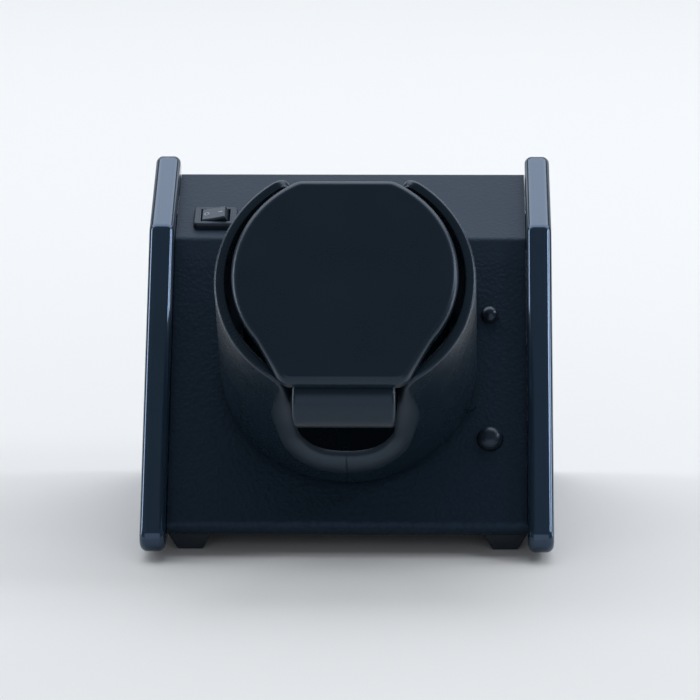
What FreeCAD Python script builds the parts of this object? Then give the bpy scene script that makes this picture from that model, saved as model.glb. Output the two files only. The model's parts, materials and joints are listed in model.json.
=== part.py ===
import FreeCAD, Part
import Sketcher
import math
import os
import re

# Desktop watch winder with one turning cup.
# Lengths are in millimetres and angles in degrees. +Z is up and the cup faces -Y.
# The slope frame lies on the slanted front: x to the right, y up the slope, z out of the front,
# with its origin where the cup axis meets the front. The top frame lies on the sloping top in the
# same way, with its origin on the bend between front and top.

SIZES = {
    # casing
    "overall_width": 120.0,
    "side_thickness": 7.5,
    "side_edge_round": 2.2,
    "front_angle": 52.0,
    "bend_angle": 31.3,
    "front_length": 107.0,
    "top_length": 44.0,
    "panel_lift": 2.0,
    "toe_y": -38.8154,
    "toe_round": 4.5,
    "brow_round": 3.5,
    "crown_round": 4.0,
    "heel_round": 5.0,
    "shell_recess": 5.3,
    "shell_floor": 5.4,
    "shell_play": 0.15,
    "sheet": 1.5,
    "bend_round": 1.5,
    "back_recess": 1.0,
    "back_flange": 12.0,
    "back_lip": 10.0,
    "cover_gap": 2.6,
    "case_screw_inset": 12.5,
    "case_screw_drop": 8.0,
    "floor_screw_inset": 24.5,
    "floor_screw_lead": 5.0,
    "bracket_leg": 12.0,
    "bracket_width": 10.0,
    "bracket_hole": 7.4,
    "front_bracket": 46.0,
    "rear_bracket": 72.0,
    "top_bracket": 21.0,
    "panel_bite": 4.8,
    "foot_top": 12.7,
    "foot_bottom": 7.3,
    "foot_round": 0.8,
    "foot_inset": 6.5,
    "front_foot": 21.8,
    "rear_foot": 94.0,
    # fasteners
    "screw_radius": 1.45,
    "screw_hole": 1.6,
    "head_radius": 2.9,
    "head_height": 1.6,
    "low_head": 0.9,
    "head_play": 0.1,
    "small_screw": 1.2,
    "small_tap": 1.25,
    "small_head": 2.4,
    "tip_room": 0.2,
    # drive
    "axis_rise": 63.0,
    "mount_sheet": 1.4,
    "countersink": 1.1,
    "mount_left": 31.0,
    "mount_below": 14.0,
    "mount_rise": 5.84,
    "mount_inset": 5.0,
    "mount_corner": 2.5,
    "mount_bite": 8.5,
    "motor_bypass": 14.0,
    "shaft_radius": 3.0,
    "shaft_chamfer": 0.4,
    "shaft_tail": 1.7,
    "running_gap": 0.05,
    "bush_radius": 5.0,
    "bush_flange": 7.5,
    "bush_flange_sheet": 1.2,
    "bush_tail": 4.0,
    "washer_radius": 6.5,
    "washer_play": 0.1,
    "clip_radius": 5.6,
    "clip_sheet": 0.8,
    "clip_groove": 0.5,
    "clip_play": 0.1,
    "clip_stand": 0.3,
    "clip_mouth": 4.4,
    "motor_plate_depth": 18.5,
    "plate_margin": 4.3,
    "plate_bite": 6.0,
    "standoff_radius": 2.75,
    "gear_module": 0.8,
    "gear_teeth": 51.0,
    "pinion_teeth": 16.0,
    "gear_top": 0.95,
    "pinion_top": 0.9,
    "gear_width": 5.0,
    "gear_boss": 3.3,
    "gear_boss_radius": 7.5,
    "gear_play": 0.5,
    "tooth_play": 0.14,
    "pinion_lap": 0.5,
    "pinion_shaft": 2.0,
    "pinion_reach": 5.0,
    "motor_turn": 160.0,
    "gearbox_radius": 13.5,
    "gearbox_length": 13.0,
    "gearbox_boss": 5.0,
    "gearbox_boss_play": 0.2,
    "gearbox_boss_proud": 0.6,
    "gearbox_pitch": 9.5,
    "gearbox_bite": 4.0,
    "motor_radius": 12.0,
    "motor_length": 17.0,
    "motor_edge_round": 1.2,
    "motor_boss": 4.0,
    "motor_boss_length": 1.5,
    "tab_reach": 7.0,
    "tab_drop": 5.0,
    "tab_width": 2.8,
    "tab_sheet": 0.5,
    "tab_length": 4.0,
    # cup
    "cup_radius": 37.0,
    "cup_flare": 0.8,
    "cup_wall": 3.0,
    "cup_draft": 0.6,
    "cup_floor": 3.0,
    "cup_gap": 0.8,
    "cup_depth": 59.6,
    "cup_foot_round": 1.2,
    "cup_inside_round": 2.2,
    "notch_mouth": 31.4,
    "notch_foot": 28.0,
    "notch_depth": 45.0,
    "notch_round": 9.5,
    "neck_round": 5.0,
    "lip_round": 2.0,
    "inner_lip_round": 0.7,
    "hub_radius": 15.0,
    "hub_flange": 3.0,
    "hub_boss": 7.5,
    "hub_height": 11.0,
    "hub_round": 1.0,
    "hub_pitch": 11.0,
    "hub_tap_floor": 0.8,
    "post_inset": 8.4,
    "post_top": 52.0,
    "post_wall": 1.5,
    "post_round": 2.0,
    # holder
    "face_gap": 1.9,
    "chord_depth": 2.9,
    "apron_drop": 1.9,
    "face_thickness": 4.0,
    "face_proud": 4.6,
    "face_corner_round": 6.0,
    "face_edge_round": 2.2,
    "apron_half": 17.2,
    "apron_tuck": 0.5,
    "apron_round": 4.5,
    "apron_neck_round": 15.0,
    "core_half": 16.0,
    "core_depth": 12.3,
    "core_below": 15.0,
    "core_gap": 0.5,
    "core_back_round": 7.5,
    "core_edge_round": 1.5,
    "grip_x": 10.0,
    "grip_in": 8.0,
    "grip_sink": 2.6,
    "grip_bite": 2.2,
    "leg_width": 6.0,
    "leg_depth": 11.0,
    "leg_plug": 18.0,
    "leg_play": 0.2,
    "leg_round": 0.8,
    "jaw_half": 14.4,
    "jaw_gap": 0.4,
    "jaw_edge_round": 1.2,
    "cheek_length": 8.1,
    "nose_radius": 7.8,
    "nose_lead": 0.1,
    "tail_half": 12.0,
    "tail_height": 7.0,
    "tail_top": 2.0,
    "slide_gap": 0.4,
    "spring_x": 7.0,
    "spring_radius": 2.6,
    "spring_wire": 0.35,
    "spring_length": 12.0,
    "spring_turns": 5.0,
    # controls
    "control_inset": 10.9,
    "control_clear": 3.9,
    "lamp_y": 17.3,
    "button_y": -22.6,
    "lens_radius": 2.75,
    "lens_rise": 2.8,
    "lens_round": 2.65,
    "lens_stem": 2.0,
    "lens_depth": 4.0,
    "lens_play": 0.1,
    "led_radius": 1.5,
    "led_flange": 1.9,
    "led_stand": 2.0,
    "led_height": 5.0,
    "led_pin": 0.4,
    "led_pitch": 0.8,
    "button_radius": 3.7,
    "button_rise": 3.0,
    "button_round": 2.9,
    "button_play": 0.2,
    "button_flange": 0.9,
    "button_flange_sheet": 1.4,
    "button_stem": 1.5,
    "press_room": 0.4,
    "plunger_radius": 1.7,
    "plunger_length": 2.4,
    "plunger_stand": 2.0,
    "tact_side": 6.0,
    "tact_height": 3.4,
    "tact_floor": 0.6,
    "board_depth": 13.0,
    "board_sheet": 1.6,
    "board_left": 5.1,
    "board_gap": 2.5,
    "board_above": 8.7,
    "board_below": 9.4,
    "board_corner": 1.5,
    "board_screw_in": 11.0,
    "board_post": 2.5,
    "board_bite": 5.0,
    "chip_width": 7.0,
    "chip_length": 6.0,
    "chip_height": 1.7,
    "chip_rise": 4.6,
    "rocker_inset": 11.8,
    "rocker_y": 10.0,
    "rocker_length": 13.1,
    "rocker_width": 10.0,
    "rocker_tilt": 11.0,
    "bezel_height": 1.8,
    "bezel_corner": 1.5,
    "bezel_round": 0.8,
    "bezel_lap": 0.8,
    "switch_play": 0.1,
    "switch_wall": 0.8,
    "switch_depth": 11.0,
    "switch_well": 5.0,
    "pivot_drop": 0.6,
    "pin_radius": 0.8,
    "pin_bite": 0.6,
    "cap_play": 0.5,
    "cap_side_play": 0.3,
    "cap_rise": 3.3,
    "cap_dip": 0.15,
    "cap_skirt": 0.6,
    "cap_taper": 1.0,
    "cap_heel": 2.2,
    "cap_drop": 2.4,
    "cap_round": 0.5,
    "terminal_x": 3.2,
    "terminal_sheet": 0.8,
    "terminal_width": 4.0,
    "terminal_length": 6.0,
    # power
    "cell_radius": 7.25,
    "cell_length": 49.5,
    "cell_tip": 0.5,
    "cell_tip_radius": 2.75,
    "cell_shift": 2.5,
    "cell_play": 0.6,
    "cell_side_play": 0.4,
    "tray_gap": 0.3,
    "tray_lift": 0.8,
    "tray_wall": 1.2,
    "tray_divider": 0.8,
    "contact_sheet": 0.4,
    "contact_gap": 0.15,
    "contact_side": 10.0,
    "cell_spring_radius": 3.2,
    "cell_spring_wire": 0.35,
    "cell_spring_turns": 3.0,
    "cell_spring_play": 0.05,
    "door_land": 1.5,
    "door_lap": 2.0,
    "door_play": 0.3,
    "door_corner": 4.0,
    "door_grip": 16.0,
    "door_grip_height": 4.0,
    "door_grip_depth": 0.8,
    "wire_radius": 0.7,
    "wire_bend": 2.5,
    "wire_stand": 0.02,
}

# Places worked out from the sizes, as sheet formulas.
PLACES = {
    "inner_half": "overall_width / 2 - side_thickness",
    "top_angle": "front_angle - bend_angle",
    "side_bend_y": "toe_y + front_length * cos(front_angle)",
    "side_bend_z": "panel_lift + front_length * sin(front_angle)",
    "side_back_y": "side_bend_y + top_length * cos(top_angle)",
    "side_back_z": "side_bend_z + top_length * sin(top_angle)",
    "axis_y": "toe_y + axis_rise * cos(front_angle) + shell_recess * sin(front_angle)",
    "axis_z": "panel_lift + axis_rise * sin(front_angle) - shell_recess * cos(front_angle)",
    "bend_y_share": "(sin(front_angle) + sin(top_angle)) / (1 + cos(bend_angle))",
    "bend_z_share": "(cos(front_angle) + cos(top_angle)) / (1 + cos(bend_angle))",
    "toe_slack": "(shell_floor - panel_lift) / tan(front_angle)",
    "shell_toe_y": "toe_y + shell_recess / sin(front_angle) + toe_slack",
    "shell_bend_y": "side_bend_y + shell_recess * bend_y_share",
    "shell_bend_z": "side_bend_z - shell_recess * bend_z_share",
    "shell_back_y": "side_back_y - back_recess",
    "shell_back_z": "shell_bend_z + (shell_back_y - shell_bend_y) * tan(top_angle)",
    "inner_toe_y": "shell_toe_y + sheet / sin(front_angle) + sheet / tan(front_angle)",
    "inner_bend_y": "shell_bend_y + sheet * bend_y_share",
    "inner_bend_z": "shell_bend_z - sheet * bend_z_share",
    "inner_back_y": "shell_back_y - sheet",
    "inner_back_z": "inner_bend_z + (inner_back_y - inner_bend_y) * tan(top_angle)",
    "floor_top": "shell_floor + sheet",
    "cover_front": "shell_back_y - 2 * sheet",
    "cover_top": "inner_back_z - cover_gap",
    "case_screw_x": "inner_half - case_screw_inset",
    "case_screw_z": "shell_back_z - case_screw_drop",
    "floor_screw_x": "inner_half - floor_screw_inset",
    "floor_screw_y": "cover_front - floor_screw_lead",
    "foot_x": "inner_half - foot_inset",
    "motor_plate_back": "motor_plate_depth + sheet",
    "clip_front": "motor_plate_back + bush_tail + clip_stand",
    "clip_back": "clip_front + clip_sheet + 2 * clip_play",
    "shaft_back": "clip_back + shaft_tail",
    "shaft_tip": "cup_inside + hub_height - tip_room",
    "boss_back": "motor_plate_depth - bush_flange_sheet - gear_play",
    "gear_back": "boss_back - gear_boss",
    "gear_front": "gear_back - gear_width",
    "gear_centre": "gear_module * (gear_teeth + pinion_teeth) / 2",
    "gear_tip": "gear_module * (gear_teeth / 2 + gear_top)",
    "mount_above": "gear_tip + mount_rise",
    "motor_x": "gear_centre * cos(motor_turn)",
    "motor_y": "gear_centre * sin(motor_turn)",
    "gearbox_back": "motor_plate_back + gearbox_length",
    "motor_back": "gearbox_back + motor_length",
    "cup_foot": "mount_sheet + cup_gap",
    "cup_inside": "cup_foot + cup_floor",
    "cup_rim": "cup_foot + cup_depth",
    "cup_bore": "cup_radius - cup_wall",
    "cup_foot_radius": "cup_radius + cup_flare",
    "notch_floor": "cup_rim - notch_depth",
    "hub_top": "cup_inside + hub_height",
    "hub_screw_z": "cup_inside + (hub_flange + hub_height) / 2",
    "post_x": "cup_bore - cup_draft - post_inset",
    "face_radius": "cup_bore - face_gap",
    "face_above": "face_radius - chord_depth",
    "face_below": "face_radius + apron_drop",
    "apron_square": "apron_half * apron_half + face_below * face_below",
    "apron_tangent": "sqrt(apron_square - face_radius * face_radius)",
    "apron_share": "(face_radius - apron_tuck) / apron_square",
    "apron_side": "apron_share * (face_radius * apron_half + apron_tangent * face_below)",
    "apron_top": "apron_share * (face_radius * face_below - apron_tangent * apron_half)",
    "face_front": "cup_rim + face_proud",
    "face_back": "face_front - face_thickness",
    "core_back": "face_back - core_depth",
    "core_mid": "face_back - core_depth / 2",
    "core_reach": "cup_bore - cup_draft - core_gap",
    "core_above": "sqrt(core_reach * core_reach - core_half * core_half)",
    "grip_y": "core_above - grip_in",
    "nose_mid": "face_back - jaw_gap - nose_radius",
    "nose_drop": "face_below + nose_lead",
    "cheek_top": "nose_drop - cheek_length",
    "leg_foot": "post_top - leg_plug",
    "control_x": "inner_half - control_inset",
    "mount_right": "control_x - control_clear",
    "board_back": "board_depth + board_sheet",
    "flange_front": "sheet + press_room",
    "flange_back": "flange_front + button_flange_sheet",
    "plunger_top": "board_depth - plunger_stand - plunger_length",
    "led_foot": "board_depth - led_stand",
    "rocker_x": "rocker_inset - inner_half",
    "rocker_left": "rocker_x - rocker_length / 2",
    "rocker_right": "rocker_x + rocker_length / 2",
    "rocker_near": "rocker_y - rocker_width / 2",
    "rocker_far": "rocker_y + rocker_width / 2",
    "well_inset": "bezel_lap + switch_wall",
    "cap_half": "rocker_length / 2 - well_inset - cap_play",
    "cap_width": "rocker_width - 2 * (well_inset + cap_side_play)",
    "tray_x": "inner_half - tray_gap - tray_wall - tray_half",
    "tray_half": "cell_length / 2 + cell_shift + cell_tip + contact_gap + contact_sheet",
    "cell_y": "cover_front - cell_radius - cell_play",
    "cell_rise": "cell_radius + cell_side_play + tray_divider / 2",
    "tray_bottom": "floor_top + 2 * sheet + tray_lift",
    "tray_z": "tray_bottom + tray_wall + 2 * cell_rise",
    "tray_floor": "cell_y - cell_radius - cell_play",
    "tray_front": "tray_floor - tray_wall",
    "door_half": "tray_half - door_land",
    "door_reach": "2 * cell_rise - door_land",
}

doc = FreeCAD.newDocument("watch_winder")
dims = doc.addObject("Spreadsheet::Sheet", "dims")
for row, (alias, number) in enumerate(SIZES.items(), 1):
    dims.set("A%d" % row, alias)
    dims.set("B%d" % row, str(number))
    dims.setAlias("B%d" % row, alias)
doc.recompute()


def bound(text, inside=False):
    """Formula text with each size and place name led back to its sheet."""
    def led(match):
        word = match.group(0)
        if word in SIZES:
            return "dims." + word
        if word in PLACES and not inside:
            return "places." + word
        return word
    return re.sub(r"[a-z_]+", led, text)


places = doc.addObject("Spreadsheet::Sheet", "places")
for row, (alias, text) in enumerate(PLACES.items(), 1):
    places.set("A%d" % row, alias)
    places.set("B%d" % row, "=" + bound(text, True))
    places.setAlias("B%d" % row, alias)
doc.recompute()

X_AXIS = FreeCAD.Vector(1, 0, 0)
Y_AXIS = FreeCAD.Vector(0, 1, 0)
Z_AXIS = FreeCAD.Vector(0, 0, 1)
sub_parts = []


def number(text):
    return float(dims.evalExpression(bound(text)))


def bind(thing, **texts):
    for name, text in texts.items():
        thing.setExpression(name, bound(text))
    return thing


def shift(thing, x="0", y="0", z="0"):
    thing.setExpression("Placement.Base.x", bound(x))
    thing.setExpression("Placement.Base.y", bound(y))
    thing.setExpression("Placement.Base.z", bound(z))
    return thing


def turn(thing, axis, angle):
    thing.Placement = FreeCAD.Placement(thing.Placement.Base, FreeCAD.Rotation(axis, 1))
    thing.setExpression("Placement.Rotation.Angle", bound(angle))
    return thing


def on_slope(thing):
    return shift(turn(thing, X_AXIS, "front_angle"), "0", "axis_y", "axis_z")


def on_top(thing):
    return shift(turn(thing, X_AXIS, "top_angle"), "0", "shell_bend_y", "shell_bend_z")


def part(thing, label):
    thing.Label = label
    sub_parts.append(thing)
    return thing


def block(x0, x1, y0, y1, z0, z1):
    made = doc.addObject("Part::Box", "block")
    bind(made, Length="(%s) - (%s)" % (x1, x0), Width="(%s) - (%s)" % (y1, y0),
         Height="(%s) - (%s)" % (z1, z0))
    return shift(made, x0, y0, z0)


def rod(radius, z0, z1, x="0", y="0"):
    made = doc.addObject("Part::Cylinder", "rod")
    bind(made, Radius=radius, Height="(%s) - (%s)" % (z1, z0))
    return shift(made, x, y, z0)


def rod_x(radius, x0, x1, y, z):
    made = doc.addObject("Part::Cylinder", "rod_x")
    bind(made, Radius=radius, Height="(%s) - (%s)" % (x1, x0))
    made.Placement = FreeCAD.Placement(FreeCAD.Vector(), FreeCAD.Rotation(Y_AXIS, 90))
    return shift(made, x0, y, z)


def rod_y(radius, y0, y1, x, z):
    made = doc.addObject("Part::Cylinder", "rod_y")
    bind(made, Radius=radius, Height="(%s) - (%s)" % (y1, y0))
    made.Placement = FreeCAD.Placement(FreeCAD.Vector(), FreeCAD.Rotation(X_AXIS, -90))
    return shift(made, x, y0, z)


def cone(r0, r1, z0, z1, x="0", y="0"):
    made = doc.addObject("Part::Cone", "cone")
    bind(made, Radius1=r0, Radius2=r1, Height="(%s) - (%s)" % (z1, z0))
    return shift(made, x, y, z0)


def dome(radius, z, x="0", y="0"):
    made = doc.addObject("Part::Sphere", "dome")
    bind(made, Radius=radius)
    made.Angle1 = 0
    return shift(made, x, y, z)


def fuse(*things):
    made = doc.addObject("Part::MultiFuse", "fuse")
    made.Shapes = list(things)
    made.Refine = True
    return made


def group(*things):
    made = doc.addObject("Part::Compound", "group")
    made.Links = list(things)
    return made


def cut(base, *tools):
    made = doc.addObject("Part::Cut", "cut")
    made.Base = base
    made.Tool = tools[0] if len(tools) == 1 else group(*tools)
    made.Refine = True
    return made


def common(*things):
    made = doc.addObject("Part::MultiCommon", "common")
    made.Shapes = list(things)
    return made


def edge_at(x=None, y=None, z=None):
    """Test for edges whose every point shares the given coordinates."""
    def test(edge):
        box = edge.BoundBox
        spans = ((x, box.XMin, box.XMax), (y, box.YMin, box.YMax), (z, box.ZMin, box.ZMax))
        return all(want is None or max(abs(low - want), abs(high - want)) < 1e-3
                   for want, low, high in spans)
    return test


def picked(thing, test):
    doc.recompute()
    return [n for n, edge in enumerate(thing.Shape.Edges, 1) if test(edge)]


def softened(thing, radius, test):
    """Rounds the edges of a solid that pass the test."""
    edges = picked(thing, test)
    made = doc.addObject("Part::Fillet", "softened")
    made.Base = thing
    made.Edges = [(n, number(radius), number(radius)) for n in edges]
    return made


def slab(x0, x1, y0, y1, z0, z1, radius):
    """Block with its four upright edges rounded."""
    made = block(x0, x1, y0, y1, z0, z1)
    return softened(made, radius, lambda edge: edge.BoundBox.ZLength > 0.9 * number("(%s) - (%s)" % (z1, z0))
                    and edge.BoundBox.XLength + edge.BoundBox.YLength < 1e-3)


def outline(body, plane, corners):
    """Closed sketch through corners given as pairs of formulas."""
    sketch = body.newObject("Sketcher::SketchObject", "outline")
    support = [feature for feature in body.Origin.OriginFeatures if feature.Role == plane][0]
    sketch.AttachmentSupport = (support, [""])
    sketch.MapMode = "FlatFace"
    points = [FreeCAD.Vector(number(across), number(up), 0) for across, up in corners]
    for n, start in enumerate(points):
        sketch.addGeometry(Part.LineSegment(start, points[(n + 1) % len(points)]), False)
    for n in range(len(points)):
        sketch.addConstraint(Sketcher.Constraint("Coincident", n, 2, (n + 1) % len(points), 1))
    for n, (across, up) in enumerate(corners):
        for kind, text in (("DistanceX", across), ("DistanceY", up)):
            index = sketch.addConstraint(Sketcher.Constraint(kind, -1, 1, n, 1, number(text)))
            sketch.setExpression("Constraints[%d]" % index, bound(text))
    return sketch


def prism(plane, corners, start, length):
    """Body padded along the normal of an origin plane, from start over length."""
    body = doc.addObject("PartDesign::Body", "prism")
    sketch = outline(body, plane, corners)
    sketch.setExpression("AttachmentOffset.Base.z", bound(start))
    pad = body.newObject("PartDesign::Pad", "pad")
    pad.Profile = sketch
    pad.setExpression("Length", bound(length))
    return body


def turned(corners):
    """Body revolved round Z from corners given as radius and height."""
    body = doc.addObject("PartDesign::Body", "turned")
    sketch = outline(body, "XZ_Plane", corners)
    spun = body.newObject("PartDesign::Revolution", "spun")
    spun.Profile = sketch
    spun.ReferenceAxis = (sketch, ["V_Axis"])
    spun.Angle = 360
    return body


def rounded(body, radius, test):
    """Adds a fillet to the edges of a body that pass the test."""
    names = ["Edge%d" % n for n in picked(body, test)]
    last = body.Tip
    fillet = body.newObject("PartDesign::Fillet", "rounded")
    fillet.Base = (last, names)
    fillet.setExpression("Radius", bound(radius))
    return body


def corner(y, z):
    return edge_at(y=number(y), z=number(z))


def at_each(spots, maker):
    return group(*[maker(x, y) for x, y in spots])


# Side panels: thick boards whose outline follows the slanted front and the sloping top.

BOTH_SIDES = ("-", "")
LOW_BRACKETS = ("toe_y + front_bracket", "toe_y + rear_bracket")


def side_holes(x0, x1):
    low = [rod_x("screw_radius", x0, x1, y, "floor_top + bracket_hole") for y in LOW_BRACKETS]
    high = on_top(group(rod_x("screw_radius", x0, x1, "top_bracket", "-sheet - bracket_hole")))
    return low + [high]


def side_panel(start, hole_start, hole_end):
    board = prism("YZ_Plane", [("toe_y", "panel_lift"), ("side_back_y", "panel_lift"),
                               ("side_back_y", "side_back_z"), ("side_bend_y", "side_bend_z")],
                  start, "side_thickness")
    rounded(board, "toe_round", corner("toe_y", "panel_lift"))
    rounded(board, "heel_round", corner("side_back_y", "panel_lift"))
    rounded(board, "crown_round", corner("side_back_y", "side_back_z"))
    rounded(board, "brow_round", corner("side_bend_y", "side_bend_z"))
    near = edge_at(x=number(start))
    far = edge_at(x=number(start + " + side_thickness"))
    rounded(board, "side_edge_round", lambda edge: near(edge) or far(edge))
    return cut(board, *side_holes(hole_start, hole_end))


part(side_panel("-overall_width / 2", "-inner_half - panel_bite - tip_room", "-inner_half + 1"),
     "left_side_panel")
part(side_panel("inner_half", "inner_half - 1", "inner_half + panel_bite + tip_room"), "right_side_panel")

# Body shell: one bent sheet with floor, slanted front, top and rear lip.

MOUNT_SPOTS = [("mount_inset - mount_left", "mount_inset - mount_below"),
               ("mount_right - mount_inset", "mount_inset - mount_below"),
               ("mount_right - mount_inset", "mount_above - mount_inset"),
               ("mount_inset - mount_left + motor_bypass", "mount_above - mount_inset")]
CASE_X = [side + "case_screw_x" for side in BOTH_SIDES]
FLOOR_X = [side + "floor_screw_x" for side in BOTH_SIDES]

shell = prism("YZ_Plane", [
    ("inner_back_y", "shell_floor"), ("shell_toe_y", "shell_floor"),
    ("shell_bend_y", "shell_bend_z"), ("shell_back_y", "shell_back_z"),
    ("shell_back_y", "shell_back_z - back_flange"), ("inner_back_y", "shell_back_z - back_flange"),
    ("inner_back_y", "inner_back_z"), ("inner_bend_y", "inner_bend_z"),
    ("inner_toe_y", "floor_top"), ("inner_back_y", "floor_top")],
    "-inner_half + shell_play", "2 * (inner_half - shell_play)")
for y, z in (("shell_toe_y", "shell_floor"), ("shell_bend_y", "shell_bend_z"),
             ("shell_back_y", "shell_back_z")):
    rounded(shell, "bend_round + sheet", corner(y, z))
for y, z in (("inner_toe_y", "floor_top"), ("inner_bend_y", "inner_bend_z"),
             ("inner_back_y", "inner_back_z")):
    rounded(shell, "bend_round", corner(y, z))
slope_holes = on_slope(group(
    rod("bush_radius + running_gap", "-sheet - 1", "1"),
    at_each(MOUNT_SPOTS, lambda x, y: rod("screw_hole", "-sheet - 1", "1", x, y)),
    rod("lens_stem + lens_play", "-sheet - 1", "1", "control_x", "lamp_y"),
    rod("button_radius + button_play", "-sheet - 1", "1", "control_x", "button_y")))
rocker_hole = on_top(group(block(
    "rocker_left + bezel_lap - switch_play", "rocker_right - bezel_lap + switch_play",
    "rocker_near + bezel_lap - switch_play", "rocker_far - bezel_lap + switch_play", "-sheet - 1", "1")))
lip_holes = [rod_y("screw_hole", "cover_front - 1", "shell_back_y + 1", x, "case_screw_z") for x in CASE_X]
floor_holes = [rod("screw_hole", "shell_floor - 1", "floor_top + 1", x, "floor_screw_y") for x in FLOOR_X]
part(cut(shell, slope_holes, rocker_hole, *(lip_holes + floor_holes)), "body_shell")

# Back panel with the battery opening, and the push-fit door over it.

cover = prism("YZ_Plane", [
    ("inner_back_y", "floor_top"), ("inner_back_y", "cover_top"), ("cover_front", "cover_top"),
    ("cover_front", "floor_top + sheet"), ("cover_front - back_lip", "floor_top + sheet"),
    ("cover_front - back_lip", "floor_top")],
    "-inner_half + 2 * shell_play", "2 * (inner_half - 2 * shell_play)")
rounded(cover, "bend_round", corner("cover_front", "floor_top + sheet"))
rounded(cover, "bend_round + sheet", corner("inner_back_y", "floor_top"))
door_hole = block("tray_x - door_half", "tray_x + door_half", "cover_front - 1", "inner_back_y + 1",
                  "tray_z - door_reach", "tray_z + door_reach")
cover_holes = [rod_y("screw_radius", "cover_front - 1", "inner_back_y + 1", x, "case_screw_z")
               for x in CASE_X]
lip_taps = [rod("screw_radius", "floor_top - 1", "floor_top + sheet + 1", x, "floor_screw_y")
            for x in FLOOR_X]
part(cut(cover, door_hole, *(cover_holes + lip_taps)), "back_panel")

door_plate = softened(
    block("tray_x - door_half - door_lap", "tray_x + door_half + door_lap", "inner_back_y", "shell_back_y",
          "tray_z - door_reach - door_lap", "tray_z + door_reach + door_lap"),
    "door_corner",
    lambda edge: edge.BoundBox.YLength > 1 and edge.BoundBox.XLength + edge.BoundBox.ZLength < 1e-3)
door_plug = block("tray_x - door_half + door_play", "tray_x + door_half - door_play",
                  "cover_front", "inner_back_y",
                  "tray_z - door_reach + door_play", "tray_z + door_reach - door_play")
door_grip = block("tray_x - door_grip / 2", "tray_x + door_grip / 2",
                  "shell_back_y - door_grip_depth", "shell_back_y + 1",
                  "tray_z + door_reach - door_grip_height", "tray_z + door_reach")
part(cut(fuse(door_plate, door_plug), door_grip), "battery_door")

# Case screws: round heads outside, shanks through both sheets.

lip_screws = [fuse(rod_y("screw_radius", "cover_front - sheet", "shell_back_y", x, "case_screw_z"),
                   rod_y("head_radius", "shell_back_y", "shell_back_y + low_head", x, "case_screw_z"))
              for x in CASE_X]
floor_screws = [fuse(rod("screw_radius", "shell_floor", "floor_top + 2 * sheet", x, "floor_screw_y"),
                     rod("head_radius", "shell_floor - head_height", "shell_floor", x, "floor_screw_y"))
                for x in FLOOR_X]
part(group(*(lip_screws + floor_screws)), "case_screws")

# Rubber feet: tapered square bumpers.


def foot(x, y):
    made = doc.addObject("Part::Wedge", "foot")
    bind(made, Xmin="-foot_bottom / 2", Xmax="foot_bottom / 2", Zmin="-foot_bottom / 2",
         Zmax="foot_bottom / 2", Ymin="0", Ymax="shell_floor", X2min="-foot_top / 2", X2max="foot_top / 2",
         Z2min="-foot_top / 2", Z2max="foot_top / 2")
    made.Placement = FreeCAD.Placement(FreeCAD.Vector(), FreeCAD.Rotation(X_AXIS, 90))
    return shift(made, x, y, "0")


FOOT_SPOTS = [(side + "foot_x", "toe_y + " + y) for side in BOTH_SIDES for y in ("front_foot", "rear_foot")]
feet = [softened(foot(x, y), "foot_round",
                 lambda edge: edge.BoundBox.ZLength > 1 or edge.BoundBox.ZMax < 0.01)
        for x, y in FOOT_SPOTS]
part(group(*feet), "rubber_feet")

# Angle brackets that hold the side panels to the floor and to the top.


def bracket(side, y, surface, upright):
    """Angle with one leg on the sheet and one against the side panel; upright is + or -."""
    near, far = sorted((surface, "%s %s sheet" % (surface, upright)), key=number)
    low, high = sorted((surface, "%s %s bracket_leg" % (surface, upright)), key=number)
    y0 = "%s - bracket_width / 2" % y
    y1 = "%s + bracket_width / 2" % y
    inner, outer = sorted((side + "(inner_half - bracket_leg)", side + "inner_half"), key=number)
    wall, edge = sorted((side + "(inner_half - sheet)", side + "inner_half"), key=number)
    legs = fuse(block(inner, outer, y0, y1, near, far), block(wall, edge, y0, y1, low, high))
    hole = "%s %s bracket_hole" % (surface, upright)
    return cut(legs, rod_x("screw_hole", wall + " - 1", edge + " + 1", y, hole))


def panel_screw(side, y, z):
    """Round-head screw through a bracket into the side panel."""
    tip, seat = sorted((side + "(inner_half + panel_bite)", side + "(inner_half - sheet)"), key=number)
    under, crest = sorted((side + "(inner_half - sheet)", side + "(inner_half - sheet - head_height)"),
                          key=number)
    return fuse(rod_x("screw_radius", tip, seat, y, z), rod_x("head_radius", under, crest, y, z))


brackets = [bracket(side, y, "floor_top", "+") for side in BOTH_SIDES for y in LOW_BRACKETS]
brackets.append(on_top(group(*[bracket(side, "top_bracket", "-sheet", "-") for side in BOTH_SIDES])))
part(group(*brackets), "panel_brackets")
bracket_screws = [panel_screw(side, y, "floor_top + bracket_hole")
                  for side in BOTH_SIDES for y in LOW_BRACKETS]
bracket_screws.append(on_top(group(*[panel_screw(side, "top_bracket", "-sheet - bracket_hole")
                                     for side in BOTH_SIDES])))
part(group(*bracket_screws), "panel_screws")

# Mount plate on the slanted front behind the cup, and the motor plate on standoffs behind it.

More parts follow.
